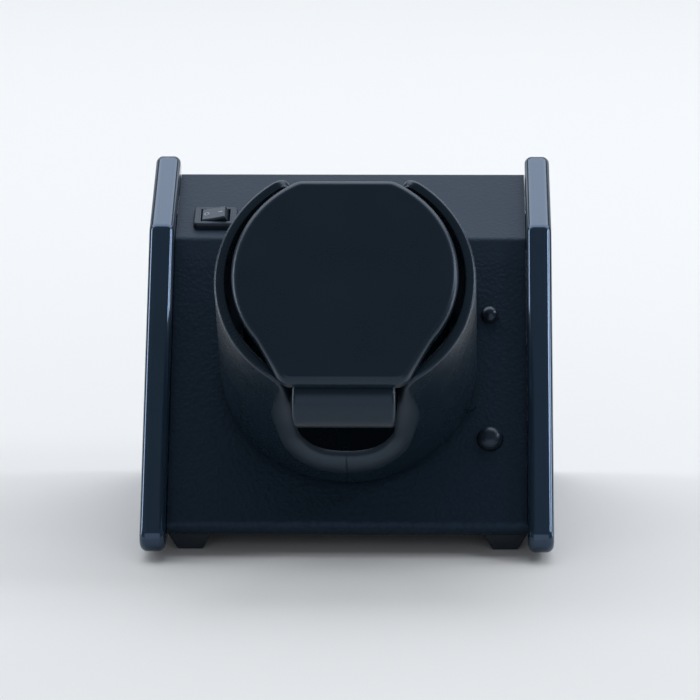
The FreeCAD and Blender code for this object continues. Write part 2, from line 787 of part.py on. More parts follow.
mount = slab("-mount_left", "mount_right", "-mount_below", "mount_above", "0", "mount_sheet", "mount_corner")
mount_holes = at_each(MOUNT_SPOTS, lambda x, y: fuse(
    rod("screw_hole", "-1", "mount_sheet + 1", x, y),
    cone("screw_hole", "head_radius", "mount_sheet - countersink", "mount_sheet", x, y)))
part(on_slope(cut(mount, rod("bush_radius + running_gap", "-1", "mount_sheet + 1"), mount_holes)),
     "mount_plate")
part(on_slope(at_each(MOUNT_SPOTS, lambda x, y: fuse(
    rod("screw_radius", "-sheet - mount_bite", "mount_sheet - head_play", x, y),
    cone("screw_radius", "head_radius - 2 * head_play", "mount_sheet - countersink",
         "mount_sheet - head_play", x, y)))), "mount_screws")
part(on_slope(at_each(MOUNT_SPOTS, lambda x, y: cut(
    rod("standoff_radius", "-motor_plate_depth", "-sheet", x, y),
    rod("screw_radius + running_gap", "-motor_plate_depth - 1", "0", x, y)))), "plate_standoffs")
motor_plate = slab("motor_x - gearbox_radius - plate_margin", "mount_right", "-mount_below", "mount_above",
                   "-motor_plate_back", "-motor_plate_depth", "mount_corner")
GEARBOX_SPOTS = [("motor_x", "motor_y - gearbox_pitch"), ("motor_x", "motor_y + gearbox_pitch")]
PLATE = ("-motor_plate_back - 1", "-motor_plate_depth + 1")
part(on_slope(cut(
    motor_plate, rod("bush_radius + running_gap", *PLATE),
    rod("gearbox_boss + gearbox_boss_play", *PLATE, "motor_x", "motor_y"),
    at_each(MOUNT_SPOTS + GEARBOX_SPOTS, lambda x, y: rod("screw_hole", *PLATE, x, y)))), "motor_plate")
part(on_slope(at_each(MOUNT_SPOTS, lambda x, y: fuse(
    rod("screw_radius", "-motor_plate_back", "-motor_plate_depth + plate_bite", x, y),
    rod("head_radius", "-motor_plate_back - head_height", "-motor_plate_back", x, y)))),
    "motor_plate_screws")

# Cup shaft in two flanged bushes, with washer and clip.

BORE = "shaft_radius + running_gap"
part(on_slope(turned([
    (BORE, "-sheet - bush_tail"), ("bush_radius", "-sheet - bush_tail"),
    ("bush_radius", "-sheet - bush_flange_sheet"), ("bush_flange", "-sheet - bush_flange_sheet"),
    ("bush_flange", "-sheet"), ("bush_radius", "-sheet"), ("bush_radius", "mount_sheet"),
    (BORE, "mount_sheet")])), "front_bush")
part(on_slope(turned([
    (BORE, "-motor_plate_back - bush_tail"), ("bush_radius", "-motor_plate_back - bush_tail"),
    ("bush_radius", "-motor_plate_depth"), ("bush_flange", "-motor_plate_depth"),
    ("bush_flange", "-motor_plate_depth + bush_flange_sheet"),
    (BORE, "-motor_plate_depth + bush_flange_sheet")])), "rear_bush")
part(on_slope(turned([
    ("0", "-shaft_back"), ("shaft_radius - shaft_chamfer", "-shaft_back"),
    ("shaft_radius", "-shaft_back + shaft_chamfer"), ("shaft_radius", "-clip_back"),
    ("shaft_radius - clip_groove", "-clip_back"), ("shaft_radius - clip_groove", "-clip_front"),
    ("shaft_radius", "-clip_front"), ("shaft_radius", "shaft_tip - shaft_chamfer"),
    ("shaft_radius - shaft_chamfer", "shaft_tip"), ("0", "shaft_tip")])), "cup_shaft")
part(on_slope(cut(rod("washer_radius", "mount_sheet", "cup_foot - washer_play"),
                  rod(BORE, "0", "cup_foot + 1"))), "thrust_washer")
part(on_slope(cut(rod("clip_radius", "-clip_back + clip_play", "-clip_front - clip_play"),
                  rod("shaft_radius - clip_groove + running_gap", "-clip_back", "-clip_front"),
                  block("-clip_mouth / 2", "clip_mouth / 2", "0", "clip_radius + 1",
                        "-clip_back", "-clip_front"))), "shaft_clip")

# Drive gear on the shaft and pinion on the gearbox output, with involute teeth.


def gear_face(teeth, module, thin, top, centre, first):
    """Toothed face: involute flanks as arcs, tip and root arcs round a centre."""
    pitch = teeth * module / 2
    base = pitch * math.cos(math.radians(20))
    root = pitch - 1.25 * module
    tip = pitch + top * module
    at_pitch = math.pi / (2 * teeth) - thin / (2 * pitch)

    def involute(radius):
        angle = math.acos(min(1.0, base / radius))
        return math.tan(angle) - angle

    def spot(radius, angle):
        return centre + FreeCAD.Vector(radius * math.cos(angle), radius * math.sin(angle), 0)

    def half(radius):
        return at_pitch + involute(pitch) - involute(max(radius, base))

    def arc(radii, angles):
        return Part.Arc(*[spot(radius, angle) for radius, angle in zip(radii, angles)])

    low = max(base, root)
    mid = (low + tip) / 2
    flank = (low, mid, tip)
    edges = []
    for n in range(int(teeth)):
        here = first + 2 * math.pi * n / teeth
        after = here + 2 * math.pi / teeth
        if root < base:
            edges.append(Part.LineSegment(spot(root, here - half(low)), spot(low, here - half(low))))
        edges.append(arc(flank, [here - half(radius) for radius in flank]))
        edges.append(arc((tip, tip, tip), (here - half(tip), here, here + half(tip))))
        edges.append(arc(flank[::-1], [here + half(radius) for radius in flank[::-1]]))
        if root < base:
            edges.append(Part.LineSegment(spot(low, here + half(low)), spot(root, here + half(low))))
        edges.append(arc((root, root, root), (here + half(low), (here + after) / 2, after - half(low))))
    return Part.Face(Part.Wire([edge.toShape() for edge in edges]))


def toothed(teeth, top, centre, first, back, width):
    made = doc.addObject("Part::Feature", "toothed")
    face = gear_face(number(teeth), number("gear_module"), number("tooth_play"), number(top), centre, first)
    face.translate(FreeCAD.Vector(0, 0, number(back)))
    made.Shape = face.extrude(FreeCAD.Vector(0, 0, number(width)))
    return made


towards = math.radians(number("motor_turn"))
wheel = toothed("gear_teeth", "gear_top", FreeCAD.Vector(), towards, "-gear_back", "gear_width")
wheel_boss = rod("gear_boss_radius", "-boss_back", "-gear_front - gear_width / 2")
set_screw_z = "-boss_back + gear_boss / 2"
set_screw_hole = rod_y("small_tap", "0", "gear_boss_radius + 1", "0", set_screw_z)
part(on_slope(cut(fuse(wheel, wheel_boss), rod(BORE, "-boss_back - 1", "0"), set_screw_hole)), "drive_gear")
part(on_slope(group(rod_y("small_screw", "shaft_radius + head_play", "gear_boss_radius - tip_room", "0",
                          set_screw_z))), "gear_set_screw")
pinion_spot = FreeCAD.Vector(number("motor_x"), number("motor_y"), 0)
pinion_first = towards + math.pi + math.pi / number("pinion_teeth")
pinion = toothed("pinion_teeth", "pinion_top", pinion_spot, pinion_first, "-gear_back - pinion_lap",
                 "gear_width + 2 * pinion_lap")
part(on_slope(fuse(pinion, rod("pinion_shaft", "-motor_plate_back - pinion_reach",
                               "-gear_front + 2 * pinion_lap", "motor_x", "motor_y"))), "pinion")

# Gear motor behind the motor plate.

part(on_slope(cut(
    fuse(rod("gearbox_radius", "-gearbox_back", "-motor_plate_back", "motor_x", "motor_y"),
         rod("gearbox_boss", "-motor_plate_back - 1", "-motor_plate_depth + gearbox_boss_proud",
             "motor_x", "motor_y")),
    rod("pinion_shaft + running_gap", "-motor_plate_back - pinion_reach - tip_room", "0",
        "motor_x", "motor_y"),
    at_each(GEARBOX_SPOTS, lambda x, y: rod(
        "screw_radius + running_gap", "-motor_plate_back - gearbox_bite - tip_room", "0", x, y)))),
    "gearbox_case")
part(on_slope(at_each(GEARBOX_SPOTS, lambda x, y: fuse(
    rod("screw_radius", "-motor_plate_back - gearbox_bite", "-motor_plate_depth", x, y),
    rod("small_head", "-motor_plate_depth", "-motor_plate_depth + head_height", x, y)))), "gearbox_screws")
can = fuse(rod("motor_radius", "-motor_back", "-gearbox_back", "motor_x", "motor_y"),
           rod("motor_boss", "-motor_back - motor_boss_length", "-gearbox_back", "motor_x", "motor_y"))
part(on_slope(softened(can, "motor_edge_round", lambda edge: edge_at(z=-number("motor_back"))(edge)
                       and edge.BoundBox.XLength > number("motor_radius + motor_boss"))), "motor_can")
TAB_SPOTS = [("motor_x - tab_reach", "motor_y - tab_drop"), ("motor_x + tab_reach", "motor_y - tab_drop")]
part(on_slope(at_each(TAB_SPOTS, lambda x, y: block(
    x + " - tab_width / 2", x + " + tab_width / 2", y + " - tab_sheet / 2", y + " + tab_sheet / 2",
    "-motor_back - tab_length", "-motor_back"))), "motor_terminals")

# Cup: turned wall with notches above and below for the strap and the jaw, hub and posts inside.

wall = turned([
    (BORE, "cup_foot"), ("cup_foot_radius", "cup_foot"), ("cup_radius", "cup_rim"),
    ("cup_bore", "cup_rim"), ("cup_bore - cup_draft", "cup_inside"), (BORE, "cup_inside")])
rounded(wall, "cup_foot_round", lambda edge: edge_at(z=number("cup_foot"))(edge)
        and edge.BoundBox.XLength > number("cup_radius"))
rounded(wall, "cup_inside_round", lambda edge: edge_at(z=number("cup_inside"))(edge)
        and edge.BoundBox.XLength > number("cup_radius"))
notch = prism("XZ_Plane", [
    ("-notch_mouth / 2", "cup_rim + 1"), ("-notch_foot / 2", "notch_floor"),
    ("notch_foot / 2", "notch_floor"), ("notch_mouth / 2", "cup_rim + 1")],
    "-cup_foot_radius - 1", "2 * cup_foot_radius + 2")
rounded(notch, "notch_round", lambda edge: edge_at(z=number("notch_floor"))(edge)
        and edge.BoundBox.YLength > 1 and edge.BoundBox.XLength < 1e-3)
HUB_SPOTS = [("hub_pitch * cos(%s)" % angle, "hub_pitch * sin(%s)" % angle) for angle in ("0", "120", "240")]
open_cup = cut(wall, notch, at_each(HUB_SPOTS, lambda x, y: rod(
    "small_tap", "cup_foot + hub_tap_floor", "cup_inside + 1", x, y)))


def neck(edge):
    """Edges across the wall where a notch meets the rim."""
    box = edge.BoundBox
    return (edge_at(z=number("cup_rim"))(edge) and abs(box.Center.y) > number("cup_bore / 2")
            and box.YLength > 1 and box.XLength < 1)


def on_lip(edge):
    """Curved edges from the rim down to the bottom of the notch, with their reach from the axis."""
    point = edge.valueAt((edge.FirstParameter + edge.LastParameter) / 2)
    curved = edge.Curve.TypeId != "Part::GeomLine"
    return curved and point.z > number("notch_floor - 1"), math.hypot(point.x, point.y)


def outer_lip(edge):
    held, reach = on_lip(edge)
    return held and reach > number("cup_bore + 0.7 * cup_wall")


def inner_lip(edge):
    held, reach = on_lip(edge)
    return held and number("cup_bore - 2 * cup_draft") < reach < number("cup_bore + 0.3 * cup_wall")


necked = softened(open_cup, "neck_round", neck)
part(on_slope(softened(softened(necked, "lip_round", outer_lip), "inner_lip_round", inner_lip)), "cup_shell")

hub = turned([(BORE, "cup_inside"), ("hub_radius", "cup_inside"), ("hub_radius", "cup_inside + hub_flange"),
              ("hub_boss", "cup_inside + hub_flange"), ("hub_boss", "hub_top"), (BORE, "hub_top")])
rounded(hub, "hub_round", lambda edge: edge_at(z=number("hub_top"))(edge)
        and edge.BoundBox.XLength > number("2 * hub_boss - 1"))
part(on_slope(cut(hub, at_each(HUB_SPOTS, lambda x, y: rod(
    "screw_hole", "cup_inside - 1", "cup_inside + hub_flange + 1", x, y)),
    rod_y("small_tap", "0", "hub_boss + 1", "0", "hub_screw_z"))), "cup_hub")
part(on_slope(at_each(HUB_SPOTS, lambda x, y: fuse(
    rod("small_screw", "cup_foot + hub_tap_floor + tip_room", "cup_inside + hub_flange", x, y),
    rod("small_head", "cup_inside + hub_flange", "cup_inside + hub_flange + head_height", x, y)))),
    "hub_screws")
part(on_slope(group(rod_y("small_screw", "shaft_radius + head_play", "hub_boss - tip_room", "0",
                          "hub_screw_z"))), "hub_set_screw")


def centred(middle, width, depth, z0, z1):
    """Corner formulas of an upright block round a point on the x axis."""
    return ("%s - (%s)" % (middle, width), "%s + (%s)" % (middle, width), "-(%s)" % depth, depth, z0, z1)


def post(side):
    width = "leg_width / 2 + leg_play"
    depth = "leg_depth / 2 + leg_play"
    middle = side + "post_x"
    solid = slab(*centred(middle, width + " + post_wall", depth + " + post_wall", "cup_inside", "post_top"),
                 "post_round")
    return cut(solid, block(*centred(middle, width, depth, "leg_foot - leg_play", "post_top + 1")))


part(on_slope(group(*[post(side) for side in BOTH_SIDES])), "cup_posts")

# Watch holder: face plate, core, plug legs, and a sprung jaw that slides down into the notch.

round_face = fuse(rod("face_radius", "face_back", "face_front"),
                  prism("XY_Plane", [("-apron_half", "-face_below"), ("apron_half", "-face_below"),
                                     ("apron_side", "-apron_top"), ("-apron_side", "-apron_top")],
                        "face_back", "face_thickness"))
face = cut(round_face, block("-cup_radius", "cup_radius", "face_above", "cup_radius",
                             "face_back - 1", "face_front + 1"))


def upright_edges(low, high):
    """Test for straight edges along z between two heights up the slope."""
    def test(edge):
        box = edge.BoundBox
        return (box.ZLength > number("face_thickness / 2") and box.XLength + box.YLength < 1e-3
                and number(low) < box.YMin < number(high))
    return test


face = softened(face, "face_corner_round", upright_edges("face_above - 1", "face_above + 1"))
face = softened(face, "apron_round", upright_edges("-face_below - 1", "-face_below + 1"))
face = softened(face, "apron_neck_round", upright_edges("-face_below + 1", "-face_radius / 2"))
face = softened(face, "face_edge_round", lambda edge: edge_at(z=number("face_front"))(edge))
GRIP_SPOTS = [("-grip_x", "grip_y"), ("grip_x", "grip_y")]
part(on_slope(cut(face, at_each(GRIP_SPOTS, lambda x, y: rod(
    "small_tap", "face_back - 1", "face_back + grip_bite + tip_room", x, y)))), "holder_face")

core = block("-core_half", "core_half", "-core_below", "core_above", "core_back", "face_back")
core = softened(core, "core_back_round", edge_at(y=number("core_above"), z=number("core_back")))
core = softened(core, "core_edge_round", lambda edge: abs(edge.BoundBox.ZMin - number("core_back")) < 0.01
                and edge.BoundBox.XLength < 0.1)
pocket = block("-tail_half - slide_gap", "tail_half + slide_gap",
               "-core_below - 1", "tail_top + spring_length",
               "core_mid - tail_height / 2 - slide_gap", "core_mid + tail_height / 2 + slide_gap")
part(on_slope(cut(core, pocket, at_each(GRIP_SPOTS, lambda x, y: fuse(
    rod("screw_hole", "core_back - 1", "face_back + 1", x, y),
    rod("small_head + 2 * slide_gap", "core_back - 1", "core_back + grip_sink", x, y))))), "holder_core")
part(on_slope(at_each(GRIP_SPOTS, lambda x, y: fuse(
    rod("small_screw", "core_back + grip_sink", "face_back + grip_bite", x, y),
    rod("small_head", "core_back + grip_sink - head_height", "core_back + grip_sink", x, y)))),
    "holder_screws")


def leg(side):
    return slab(*centred(side + "post_x", "leg_width / 2", "leg_depth / 2", "leg_foot", "face_back"),
                "leg_round")


part(on_slope(group(*[leg(side) for side in BOTH_SIDES])), "holder_legs")

nose = rod_x("nose_radius", "-jaw_half", "jaw_half", "-nose_drop", "nose_mid")
cheek = block("-jaw_half", "jaw_half", "-nose_drop", "-cheek_top", "nose_mid - nose_radius",
              "nose_mid + nose_radius")
jaw = softened(fuse(nose, cheek), "jaw_edge_round", lambda edge: edge_at(x=number("jaw_half"))(edge)
               or edge_at(x=-number("jaw_half"))(edge))
tail = block("-tail_half", "tail_half", "-cheek_top - 1", "tail_top", "core_mid - tail_height / 2",
             "core_mid + tail_height / 2")
part(on_slope(fuse(jaw, tail)), "holder_jaw")


def arc_from(start, heading, finish):
    """Arc from a point along a heading to another point."""
    chord = finish - start
    sideways = chord - heading * chord.dot(heading)
    radius = chord.dot(chord) / (2 * sideways.Length)
    outward = sideways.normalize()
    centre = start + outward * radius
    middle = centre + ((start + finish) * 0.5 - centre).normalize() * radius
    return Part.Arc(start, middle, finish).toShape()


def biarc(start, heading, finish, last):
    """Two tangent arcs that leave along heading and arrive along last."""
    chord = finish - start
    both = heading + last
    spread = 2 * (1 - heading.dot(last))
    reach = (-chord.dot(both) + math.sqrt(chord.dot(both) ** 2 + spread * chord.dot(chord))) / spread
    middle = (start + heading * reach + finish - last * reach) * 0.5
    return [arc_from(start, heading, middle), arc_from(finish, last * -1, middle)]


def coil(radius, wire, turns, length, place):
    """Round-wire spring along its own Z: a tube on biarcs of a quarter turn each."""
    rise = (length - 2 * wire) / (turns * 2 * math.pi)

    def spot(angle):
        return FreeCAD.Vector(radius * math.cos(angle), radius * math.sin(angle), wire + rise * angle)

    def heading(angle):
        return FreeCAD.Vector(-radius * math.sin(angle), radius * math.cos(angle), rise).normalize()

    angles = [n * math.pi / 2 for n in range(4 * turns + 1)]
    arcs = []
    for here, there in zip(angles, angles[1:]):
        arcs += biarc(spot(here), heading(here), spot(there), heading(there))
    path = Part.Wire(Part.__sortEdges__(arcs))
    ring = Part.Wire(Part.makeCircle(wire, spot(0), heading(0)))
    fine = [spot(2 * math.pi * turns * n / 600) for n in range(601)]
    apart = min((fine[n] - fine[k]).Length for n in range(0, 601, 5)
                for k in range(n + 300 // turns, 601, 5)) - 2 * wire
    print("spring gap to itself %.2f" % apart)
    made = doc.addObject("Part::Feature", "coil")
    made.Shape = path.makePipeShell([ring], True, False)
    made.Placement = place
    return made


def jaw_coil(side):
    spot = FreeCAD.Vector(number(side + "spring_x"), number("tail_top"), number("core_mid"))
    return coil(number("spring_radius"), number("spring_wire"), int(number("spring_turns")),
                number("spring_length"), FreeCAD.Placement(spot, FreeCAD.Rotation(X_AXIS, -90)))


part(on_slope(group(*[jaw_coil(side) for side in BOTH_SIDES])), "jaw_springs")

# Rocker switch on the sloping top.

bezel = slab("rocker_left", "rocker_right", "rocker_near", "rocker_far", "0", "bezel_height", "bezel_corner")
bezel = softened(bezel, "bezel_round", lambda edge: edge_at(z=number("bezel_height"))(edge))
switch_body = block("rocker_left + bezel_lap", "rocker_right - bezel_lap", "rocker_near + bezel_lap",
                    "rocker_far - bezel_lap", "-switch_depth", "bezel_height / 2")
switch_well = block("rocker_left + well_inset", "rocker_right - well_inset", "rocker_near + well_inset",
                    "rocker_far - well_inset", "-switch_well", "bezel_height + 1")
PIN_ENDS = ("rocker_near + well_inset - pin_bite", "rocker_far - well_inset + pin_bite")
part(on_top(cut(fuse(bezel, switch_body), switch_well,
                rod_y("pin_radius + running_gap", *PIN_ENDS, "rocker_x", "-pivot_drop"))), "rocker_body")
part(on_top(group(rod_y("pin_radius", *PIN_ENDS, "rocker_x", "-pivot_drop"))), "rocker_pin")
cap = prism("XZ_Plane", [
    ("-cap_half", "cap_skirt"), ("-cap_half + cap_taper", "cap_rise"), ("0", "cap_rise - cap_dip"),
    ("cap_half - cap_taper", "cap_rise"), ("cap_half", "cap_skirt"), ("cap_heel", "-cap_drop"),
    ("-cap_heel", "-cap_drop")], "-cap_width / 2", "cap_width")
cap = softened(cap, "cap_round", lambda edge: edge.BoundBox.ZMin > number("cap_rise - cap_dip - 0.1"))
cap = cut(cap, rod_y("pin_radius + running_gap", "-cap_width", "cap_width", "0", "0"))
part(on_top(group(shift(turn(cap, Y_AXIS, "-rocker_tilt"), "rocker_x", "rocker_y", "-pivot_drop"))),
     "rocker_cap")


def terminal(side):
    middle = "rocker_x + %s1 * terminal_x" % side
    return block(middle + " - terminal_sheet / 2", middle + " + terminal_sheet / 2",
                 "rocker_y - terminal_width / 2", "rocker_y + terminal_width / 2",
                 "-switch_depth - terminal_length", "-switch_depth")


part(on_top(group(*[terminal(side) for side in BOTH_SIDES])), "switch_terminals")

# Controls: circuit board behind the front, indicator lens and push button through it.

BOARD_SPOTS = [("control_x", "lamp_y - board_screw_in"), ("control_x", "button_y + board_screw_in")]
board = slab("control_x - board_left", "inner_half - board_gap", "button_y - board_below",
             "lamp_y + board_above", "-board_back", "-board_depth", "board_corner")
part(on_slope(cut(board, at_each(BOARD_SPOTS, lambda x, y: rod(
    "screw_hole", "-board_back - 1", "-board_depth + 1", x, y)))), "circuit_board")
part(on_slope(at_each(BOARD_SPOTS, lambda x, y: cut(
    rod("board_post", "-board_depth", "-sheet", x, y),
    rod("screw_radius + running_gap", "-board_depth - 1", "-board_depth + board_bite + tip_room", x, y)))),
    "board_standoffs")
part(on_slope(at_each(BOARD_SPOTS, lambda x, y: fuse(
    rod("screw_radius", "-board_back", "-board_depth + board_bite", x, y),
    rod("board_post", "-board_back - head_height", "-board_back", x, y)))), "board_screws")
part(on_slope(slab("control_x - chip_width / 2", "control_x + chip_width / 2",
                   "button_y + chip_rise - chip_length / 2", "button_y + chip_rise + chip_length / 2",
                   "-board_back - chip_height", "-board_back", "tip_room")), "controller_chip")
lens = turned([("0", "-lens_depth"), ("lens_stem", "-lens_depth"), ("lens_stem", "0"), ("lens_radius", "0"),
               ("lens_radius", "lens_rise"), ("0", "lens_rise")])
rounded(lens, "lens_round", lambda edge: edge_at(z=number("lens_rise"))(edge))
part(on_slope(group(shift(lens, "control_x", "lamp_y"))), "indicator_lens")
LED_TOP = "-led_foot + led_height"
PINS = [("-led_pitch - led_pin / 2", "-led_pitch + led_pin / 2"),
        ("led_pitch - led_pin / 2", "led_pitch + led_pin / 2")]
pins = [block(x0, x1, "-led_pin / 2", "led_pin / 2", "-board_depth", "-led_foot + led_pin")
        for x0, x1 in PINS]
lamp = fuse(rod("led_radius", "-led_foot", LED_TOP), dome("led_radius", LED_TOP),
            rod("led_flange", "-led_foot", "-led_foot + 1"), *pins)
part(on_slope(group(shift(lamp, "control_x", "lamp_y"))), "indicator_led")
button = turned([
    ("0", "-plunger_top"), ("button_stem", "-plunger_top"), ("button_stem", "-flange_back"),
    ("button_radius + button_flange", "-flange_back"), ("button_radius + button_flange", "-flange_front"),
    ("button_radius", "-flange_front"), ("button_radius", "button_rise"), ("0", "button_rise")])
rounded(button, "button_round", lambda edge: edge_at(z=number("button_rise"))(edge))
part(on_slope(group(shift(button, "control_x", "button_y"))), "push_button")
part(on_slope(group(rod("plunger_radius", "-board_depth + plunger_stand", "-plunger_top", "control_x",
                        "button_y"))), "switch_plunger")
part(on_slope(cut(block("control_x - tact_side / 2", "control_x + tact_side / 2", "button_y - tact_side / 2",
                        "button_y + tact_side / 2", "-board_depth", "-board_depth + tact_height"),
                  rod("plunger_radius + running_gap", "-board_depth + tact_floor",
                      "-board_depth + tact_height + 1", "control_x", "button_y"))), "tact_switch")

# Battery tray behind the back panel, cells, contacts and contact springs.

tray = cut(block("tray_x - tray_half - tray_wall", "tray_x + tray_half + tray_wall",
                 "tray_front", "cover_front",
                 "tray_z - 2 * cell_rise - tray_wall", "tray_z + 2 * cell_rise + tray_wall"),
           block("tray_x - tray_half", "tray_x + tray_half", "tray_floor", "cover_front + 1",
                 "tray_z - 2 * cell_rise", "tray_z - tray_divider / 2"),
           block("tray_x - tray_half", "tray_x + tray_half", "tray_floor", "cover_front + 1",
                 "tray_z + tray_divider / 2", "tray_z + 2 * cell_rise"))
part(tray, "battery_tray")
LOW_CELL = "tray_z - cell_rise"
HIGH_CELL = "tray_z + cell_rise"


def cell(z, side):
    """Battery cell pushed to one side, where its button end is."""
    middle = "tray_x + %s1 * cell_shift" % side
    low = middle + " - cell_length / 2"
    high = middle + " + cell_length / 2"
    ends = (low + " - cell_tip", low) if side == "-" else (high, high + " + cell_tip")
    return fuse(rod_x("cell_radius", low, high, "cell_y", z), rod_x("cell_tip_radius", *ends, "cell_y", z))


part(group(cell(LOW_CELL, ""), cell(HIGH_CELL, "-")), "battery_cells")
CONTACT_X = [("tray_x - tray_half", "tray_x - tray_half + contact_sheet"),
             ("tray_x + tray_half - contact_sheet", "tray_x + tray_half")]
part(group(*[block(x0, x1, "cell_y - contact_side / 2", "cell_y + contact_side / 2",
                   z + " - contact_side / 2", z + " + contact_side / 2")
             for z in (LOW_CELL, HIGH_CELL) for x0, x1 in CONTACT_X]), "battery_contacts")


def cell_coil(z, start):
    free = number("tray_half - cell_length / 2 + cell_shift - contact_sheet - 2 * cell_spring_play")
    spot = FreeCAD.Vector(start(free), number("cell_y"), number(z))
    return coil(number("cell_spring_radius"), number("cell_spring_wire"),
                int(number("cell_spring_turns")), free, FreeCAD.Placement(spot, FreeCAD.Rotation(Y_AXIS, 90)))


low_end = number("tray_x - tray_half + contact_sheet + cell_spring_play")
high_end = number("tray_x + tray_half - contact_sheet - cell_spring_play")
part(group(cell_coil(LOW_CELL, lambda free: low_end), cell_coil(HIGH_CELL, lambda free: high_end - free)),
     "contact_springs")

# Leads: round wires of straight runs joined by tangent bends.


def lead(points):
    """Wire through points with every corner turned by an arc of one radius."""
    bend = number("wire_bend")
    runs = []
    here = points[0]
    for before, at, after in zip(points, points[1:], points[2:]):
        back = (before - at).normalize()
        ahead = (after - at).normalize()
        half = math.acos(max(-1.0, min(1.0, back.dot(ahead)))) / 2
        reach = bend / math.tan(half)
        start = at + back * reach
        finish = at + ahead * reach
        inward = (back + ahead).normalize()
        middle = at + inward * (bend / math.sin(half) - bend)
        runs.append(Part.LineSegment(here, start).toShape())
        runs.append(Part.Arc(start, middle, finish).toShape())
        here = finish
    runs.append(Part.LineSegment(here, points[-1]).toShape())
    path = Part.Wire(runs)
    ring = Part.Wire(Part.makeCircle(number("wire_radius"), points[0], points[1] - points[0]))
    made = doc.addObject("Part::Feature", "lead")
    made.Shape = path.makePipeShell([ring], True, False)
    return made


slope = FreeCAD.Placement(FreeCAD.Vector(0, number("axis_y"), number("axis_z")),
                          FreeCAD.Rotation(X_AXIS, number("front_angle")))
roof = FreeCAD.Placement(FreeCAD.Vector(0, number("shell_bend_y"), number("shell_bend_z")),
                         FreeCAD.Rotation(X_AXIS, number("top_angle")))
board_face = -number("board_back + wire_stand")


def on_board(x, y, off=0.0):
    return slope.multVec(FreeCAD.Vector(x, y, board_face - off))


motor_leads = []
for side, end, run in (("-", "control_x - 2.2", 42.0), ("+", "control_x + 0.6", 39.0)):
    x = number("motor_x %s tab_reach" % side)
    y = number("motor_y - tab_drop")
    low = y - 10.1 + (1.1 if side == "-" else -1.1)
    tab = -number("motor_back + tab_length + wire_stand")
    x_end = number(end)
    motor_leads.append(lead([
        FreeCAD.Vector(x, y, tab), FreeCAD.Vector(x, y, tab - 2.6), FreeCAD.Vector(x, low, tab - 2.6),
        FreeCAD.Vector(x, low, -run), FreeCAD.Vector(x_end, low, -run),
        FreeCAD.Vector(x_end, low, board_face)]))
part(on_slope(group(*motor_leads)), "motor_leads")

switch_leads = []
for side, end, drop in (("-", "control_x - 0.6", 4.5), ("+", "control_x + 3.4", 7.5)):
    x = number("rocker_x %s terminal_x" % side)
    foot_z = -number("switch_depth + terminal_length + wire_stand")
    x_end = number(end)
    start = roof.multVec(FreeCAD.Vector(x, number("rocker_y"), foot_z))
    down = roof.multVec(FreeCAD.Vector(x, number("rocker_y"), foot_z - drop))
    across = FreeCAD.Vector(x_end, down.y, down.z)
    switch_leads.append(lead([start, down, across, on_board(x_end, 19, 9), on_board(x_end, 19)]))
part(group(*switch_leads), "switch_leads")

battery_leads = []
for end, z in (("control_x - 0.6", "tray_z - 4"), ("control_x + 4.4", "tray_z + 2")):
    x_end = number(end)
    start = FreeCAD.Vector(x_end, number("tray_front - wire_stand"), number(z))
    out = start - FreeCAD.Vector(0, 9, 0)
    battery_leads.append(lead([start, out, on_board(x_end, 1, 10), on_board(x_end, 1)]))
part(group(*battery_leads), "battery_leads")

# Every piece is tested before it is written.

doc.recompute()
for thing in doc.Objects:
    if "Invalid" in thing.State or "Error" in thing.State:
        raise RuntimeError("%s is in state %s" % (thing.Label, thing.State))
os.makedirs("parts", exist_ok=True)
for thing in sub_parts:
    if thing.Shape.isNull() or not thing.Shape.isValid() or thing.Shape.Volume < 0.01:
        raise RuntimeError("%s has no sound shape" % thing.Label)
    thing.Shape.exportStep("parts/%s.step" % thing.Label)
whole = Part.makeCompound([thing.Shape for thing in sub_parts])
print("box", whole.BoundBox)
for alias in ("axis_y", "axis_z", "top_angle", "shell_bend_y", "shell_bend_z", "motor_x", "motor_y",
              "cup_rim", "foot_x", "rocker_x", "control_x"):
    print(alias, number(alias))
for thing in sub_parts:
    print("%-20s solids %d volume %.1f" % (thing.Label, len(thing.Shape.Solids), thing.Shape.Volume))
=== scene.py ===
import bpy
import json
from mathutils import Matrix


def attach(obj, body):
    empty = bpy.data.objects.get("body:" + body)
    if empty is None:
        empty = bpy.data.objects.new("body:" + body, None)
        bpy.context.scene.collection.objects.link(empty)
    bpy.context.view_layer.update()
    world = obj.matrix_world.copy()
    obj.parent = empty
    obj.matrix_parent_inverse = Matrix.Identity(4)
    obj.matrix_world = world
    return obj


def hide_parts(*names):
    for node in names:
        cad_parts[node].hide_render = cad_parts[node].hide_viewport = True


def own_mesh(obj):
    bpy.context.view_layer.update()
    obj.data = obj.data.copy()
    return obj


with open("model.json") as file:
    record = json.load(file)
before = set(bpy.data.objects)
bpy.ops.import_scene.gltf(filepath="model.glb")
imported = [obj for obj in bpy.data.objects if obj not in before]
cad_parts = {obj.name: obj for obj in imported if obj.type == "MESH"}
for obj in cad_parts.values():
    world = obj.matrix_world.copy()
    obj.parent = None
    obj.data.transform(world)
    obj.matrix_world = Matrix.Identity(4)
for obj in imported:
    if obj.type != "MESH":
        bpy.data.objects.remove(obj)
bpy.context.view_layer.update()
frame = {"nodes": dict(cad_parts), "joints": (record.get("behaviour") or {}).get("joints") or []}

import json
import math

import bmesh
import bpy
import numpy as np
from bpy.props import FloatProperty, FloatVectorProperty, PointerProperty
from mathutils import Quaternion, Vector

bl_info = {
    "name": "Watch winder box",
    "version": (1, 0, 0),
    "blender": (4, 5, 0),
    "location": "3D View > Sidebar > Winder",
    "description": "Dresses the solids of a watch winder box with surfaces, finishes and a studio stage",
    "category": "Object",
}

